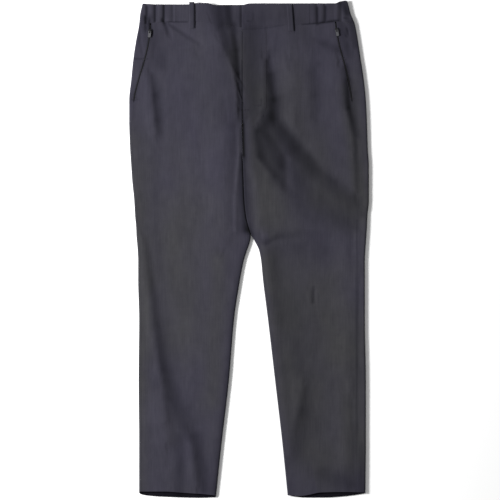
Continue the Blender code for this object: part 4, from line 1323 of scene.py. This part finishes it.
def spaced(points, pitch):
    """Points at an even pitch along a line of points."""
    points = np.asarray(points, float)
    reach = np.concatenate(([0], np.cumsum(np.hypot(*np.diff(points, axis=0).T))))
    at = np.linspace(0, reach[-1], max(2, round(reach[-1] / pitch) + 1))
    return np.stack([np.interp(at, reach, points[:, n]) for n in (0, 1)], axis=-1)


def stitches(name, leg, height, rows, pitch=3.0, long=2.4, half=0.26):
    """Short rounded stitches lying on a panel along each of the rows."""
    starts = []
    ends = []
    for row in rows:
        knots = spaced(row, pitch)
        heading = np.diff(knots, axis=0)
        heading /= np.hypot(*heading.T)[:, None]
        middle = (knots[1:] + knots[:-1]) / 2
        starts.append(middle - heading * long / 2)
        ends.append(middle + heading * long / 2)
    start = np.concatenate(starts)
    end = np.concatenate(ends)
    share = np.array([0, 0.08, 0.3, 0.5, 0.7, 0.92, 1])
    swell = np.array([0.3, 0.8, 1, 1, 1, 0.8, 0.3])
    centre = mix(start[:, None], end[:, None], share[None, :, None])
    across, down = centre[..., 0], centre[..., 1]
    level = bend(leg, across, down, 1) if leg else down
    up = height(across, down) + STITCH_RISE * np.sin(math.pi * share)[None, :]
    heading = (end - start) / np.hypot(*(end - start).T)[:, None]
    turn = np.linspace(0, 2 * math.pi, 7)[:-1]
    beside = half * swell[None, :, None] * np.cos(turn)[None, None, :]
    lift = half * swell[None, :, None] * np.sin(turn)[None, None, :]
    points = place(
        across[..., None] + beside * -heading[:, 1, None, None],
        level[..., None] + beside * heading[:, 0, None, None],
        up[..., None] + lift,
    )
    count, rings, sides = points.shape[:3]
    index = np.arange(count * rings * sides).reshape(count, rings, sides)
    following = np.roll(index, -1, axis=2)
    quads = (index[:, :-1], following[:, :-1], following[:, 1:], index[:, 1:])
    quads = np.stack(quads, axis=-1).reshape(-1, 4)
    caps = np.concatenate((index[:, 0, ::-1], index[:, -1]))
    mesh = bpy.data.meshes.new(name)
    mesh.from_pydata(points.reshape(-1, 3).tolist(), [], quads.tolist() + caps.tolist())
    mesh.materials.append(THREAD_LOOK)
    mesh.polygons.foreach_set("use_smooth", [True] * len(mesh.polygons))
    made = add_object(name, mesh)
    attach(made, BODY)


def bar_tack(across, down, half_length, half_width=1.1):
    """A close zigzag, as the ends of its strokes."""
    count = round(2 * half_length / TACK_PITCH)
    reach = np.linspace(-half_length, half_length, count)
    side = half_width * (1 - 2 * (np.arange(count) % 2))
    steps = np.stack((reach, side), axis=-1)
    return steps + np.array([across, down])


stitches("fly_stitching", LEGS["left"], fly_height, [FLY_STITCH])
tacks = [bar_tack(-5.5, 220, 4.5), bar_tack(18.5, 211, 4.5)]
stitches("fly_tacks", LEGS["left"], fly_height, tacks, pitch=2.2, long=2.1, half=0.22)
for side, leg in LEGS.items():
    rows = []
    for beside in (-SLOT_HALF - STITCH_INSET, SLOT_HALF + STITCH_INSET):
        downs = np.linspace(SLOT_TOP + 12, SLOT_FOOT + 2, 30)
        rows.append(np.stack((edge(leg.seam, downs) + beside, downs), axis=-1))
    stitches("pocket_stitching_" + side, leg, leg.height, rows, half=0.2)
    tacks = [bar_tack(edge(leg.seam, down), down, 6.5, half_width=0.9) for down in POCKET_TACKS]
    stitches("pocket_tacks_" + side, leg, leg.height, tacks, pitch=1.9, long=1.8, half=0.22)


# Metal pieces keep their solids and take a better finish


for side in ("right", "left"):
    for part, look in METAL_LOOKS.items():
        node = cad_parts[part + side]
        node.data.materials.clear()
        node.data.materials.append(look)


# Floor, light and camera

FLOOR_HALF = 4.0
ROOM_STRENGTH = 0.4
KEY_SIZE = 0.6
KEY_POWER = 112.0
KEY_DISTANCE = 2.3
KEY_ELEVATION = 33.0
KEY_AZIMUTH = 170.0
CAMERA_DISTANCE = 3.0
CAMERA_WIDTH = 1.0
CAMERA_PLACE = (0.002, -0.0013)
SENSOR = 36


def make_floor():
    mesh = bpy.data.meshes.new("floor")
    corners = [(x * FLOOR_HALF, y * FLOOR_HALF, 0) for x, y in ((-1, -1), (1, -1), (1, 1), (-1, 1))]
    mesh.from_pydata(corners, [], [(0, 1, 2, 3)])
    look = {"Base Color": (0.95, 0.95, 0.95), "Roughness": 0.9, "Specular IOR Level": 0.0}
    mesh.materials.append(Graph("pale_floor").finish(look))
    made = add_object("floor", mesh)


def make_light():
    """A soft box to the picture's left, low enough to model the folds, in an even pale room."""
    scene = bpy.context.scene
    world = bpy.data.worlds.new("studio")
    world.use_nodes = True
    room = world.node_tree.nodes["Background"]
    room.inputs["Color"].default_value = (1, 1, 1, 1)
    room.inputs["Strength"].default_value = ROOM_STRENGTH
    scene.world = world
    lamp = bpy.data.lights.new("key", "AREA")
    lamp.energy = KEY_POWER
    lamp.size = KEY_SIZE
    key = add_object("key", lamp)
    elevation = math.radians(KEY_ELEVATION)
    azimuth = math.radians(KEY_AZIMUTH)
    level = math.cos(elevation)
    toward = Vector((level * math.cos(azimuth), level * math.sin(azimuth), math.sin(elevation)))
    key.location = toward * KEY_DISTANCE
    key.rotation_mode = "QUATERNION"
    key.rotation_quaternion = toward.to_track_quat("Z", "Y")
    scene.view_settings.view_transform = "Standard"


def make_camera():
    """Straight above, the frame one metre square at the cloth's height."""
    camera = bpy.data.cameras.new("camera")
    made = add_object("camera", camera)
    camera.sensor_width = SENSOR
    camera.lens = SENSOR * (CAMERA_DISTANCE - REST_HEIGHT * MM) / CAMERA_WIDTH
    made.location = (*CAMERA_PLACE, CAMERA_DISTANCE)
    camera.clip_end = 100
    bpy.context.scene.camera = made


make_floor()
make_light()
make_camera()
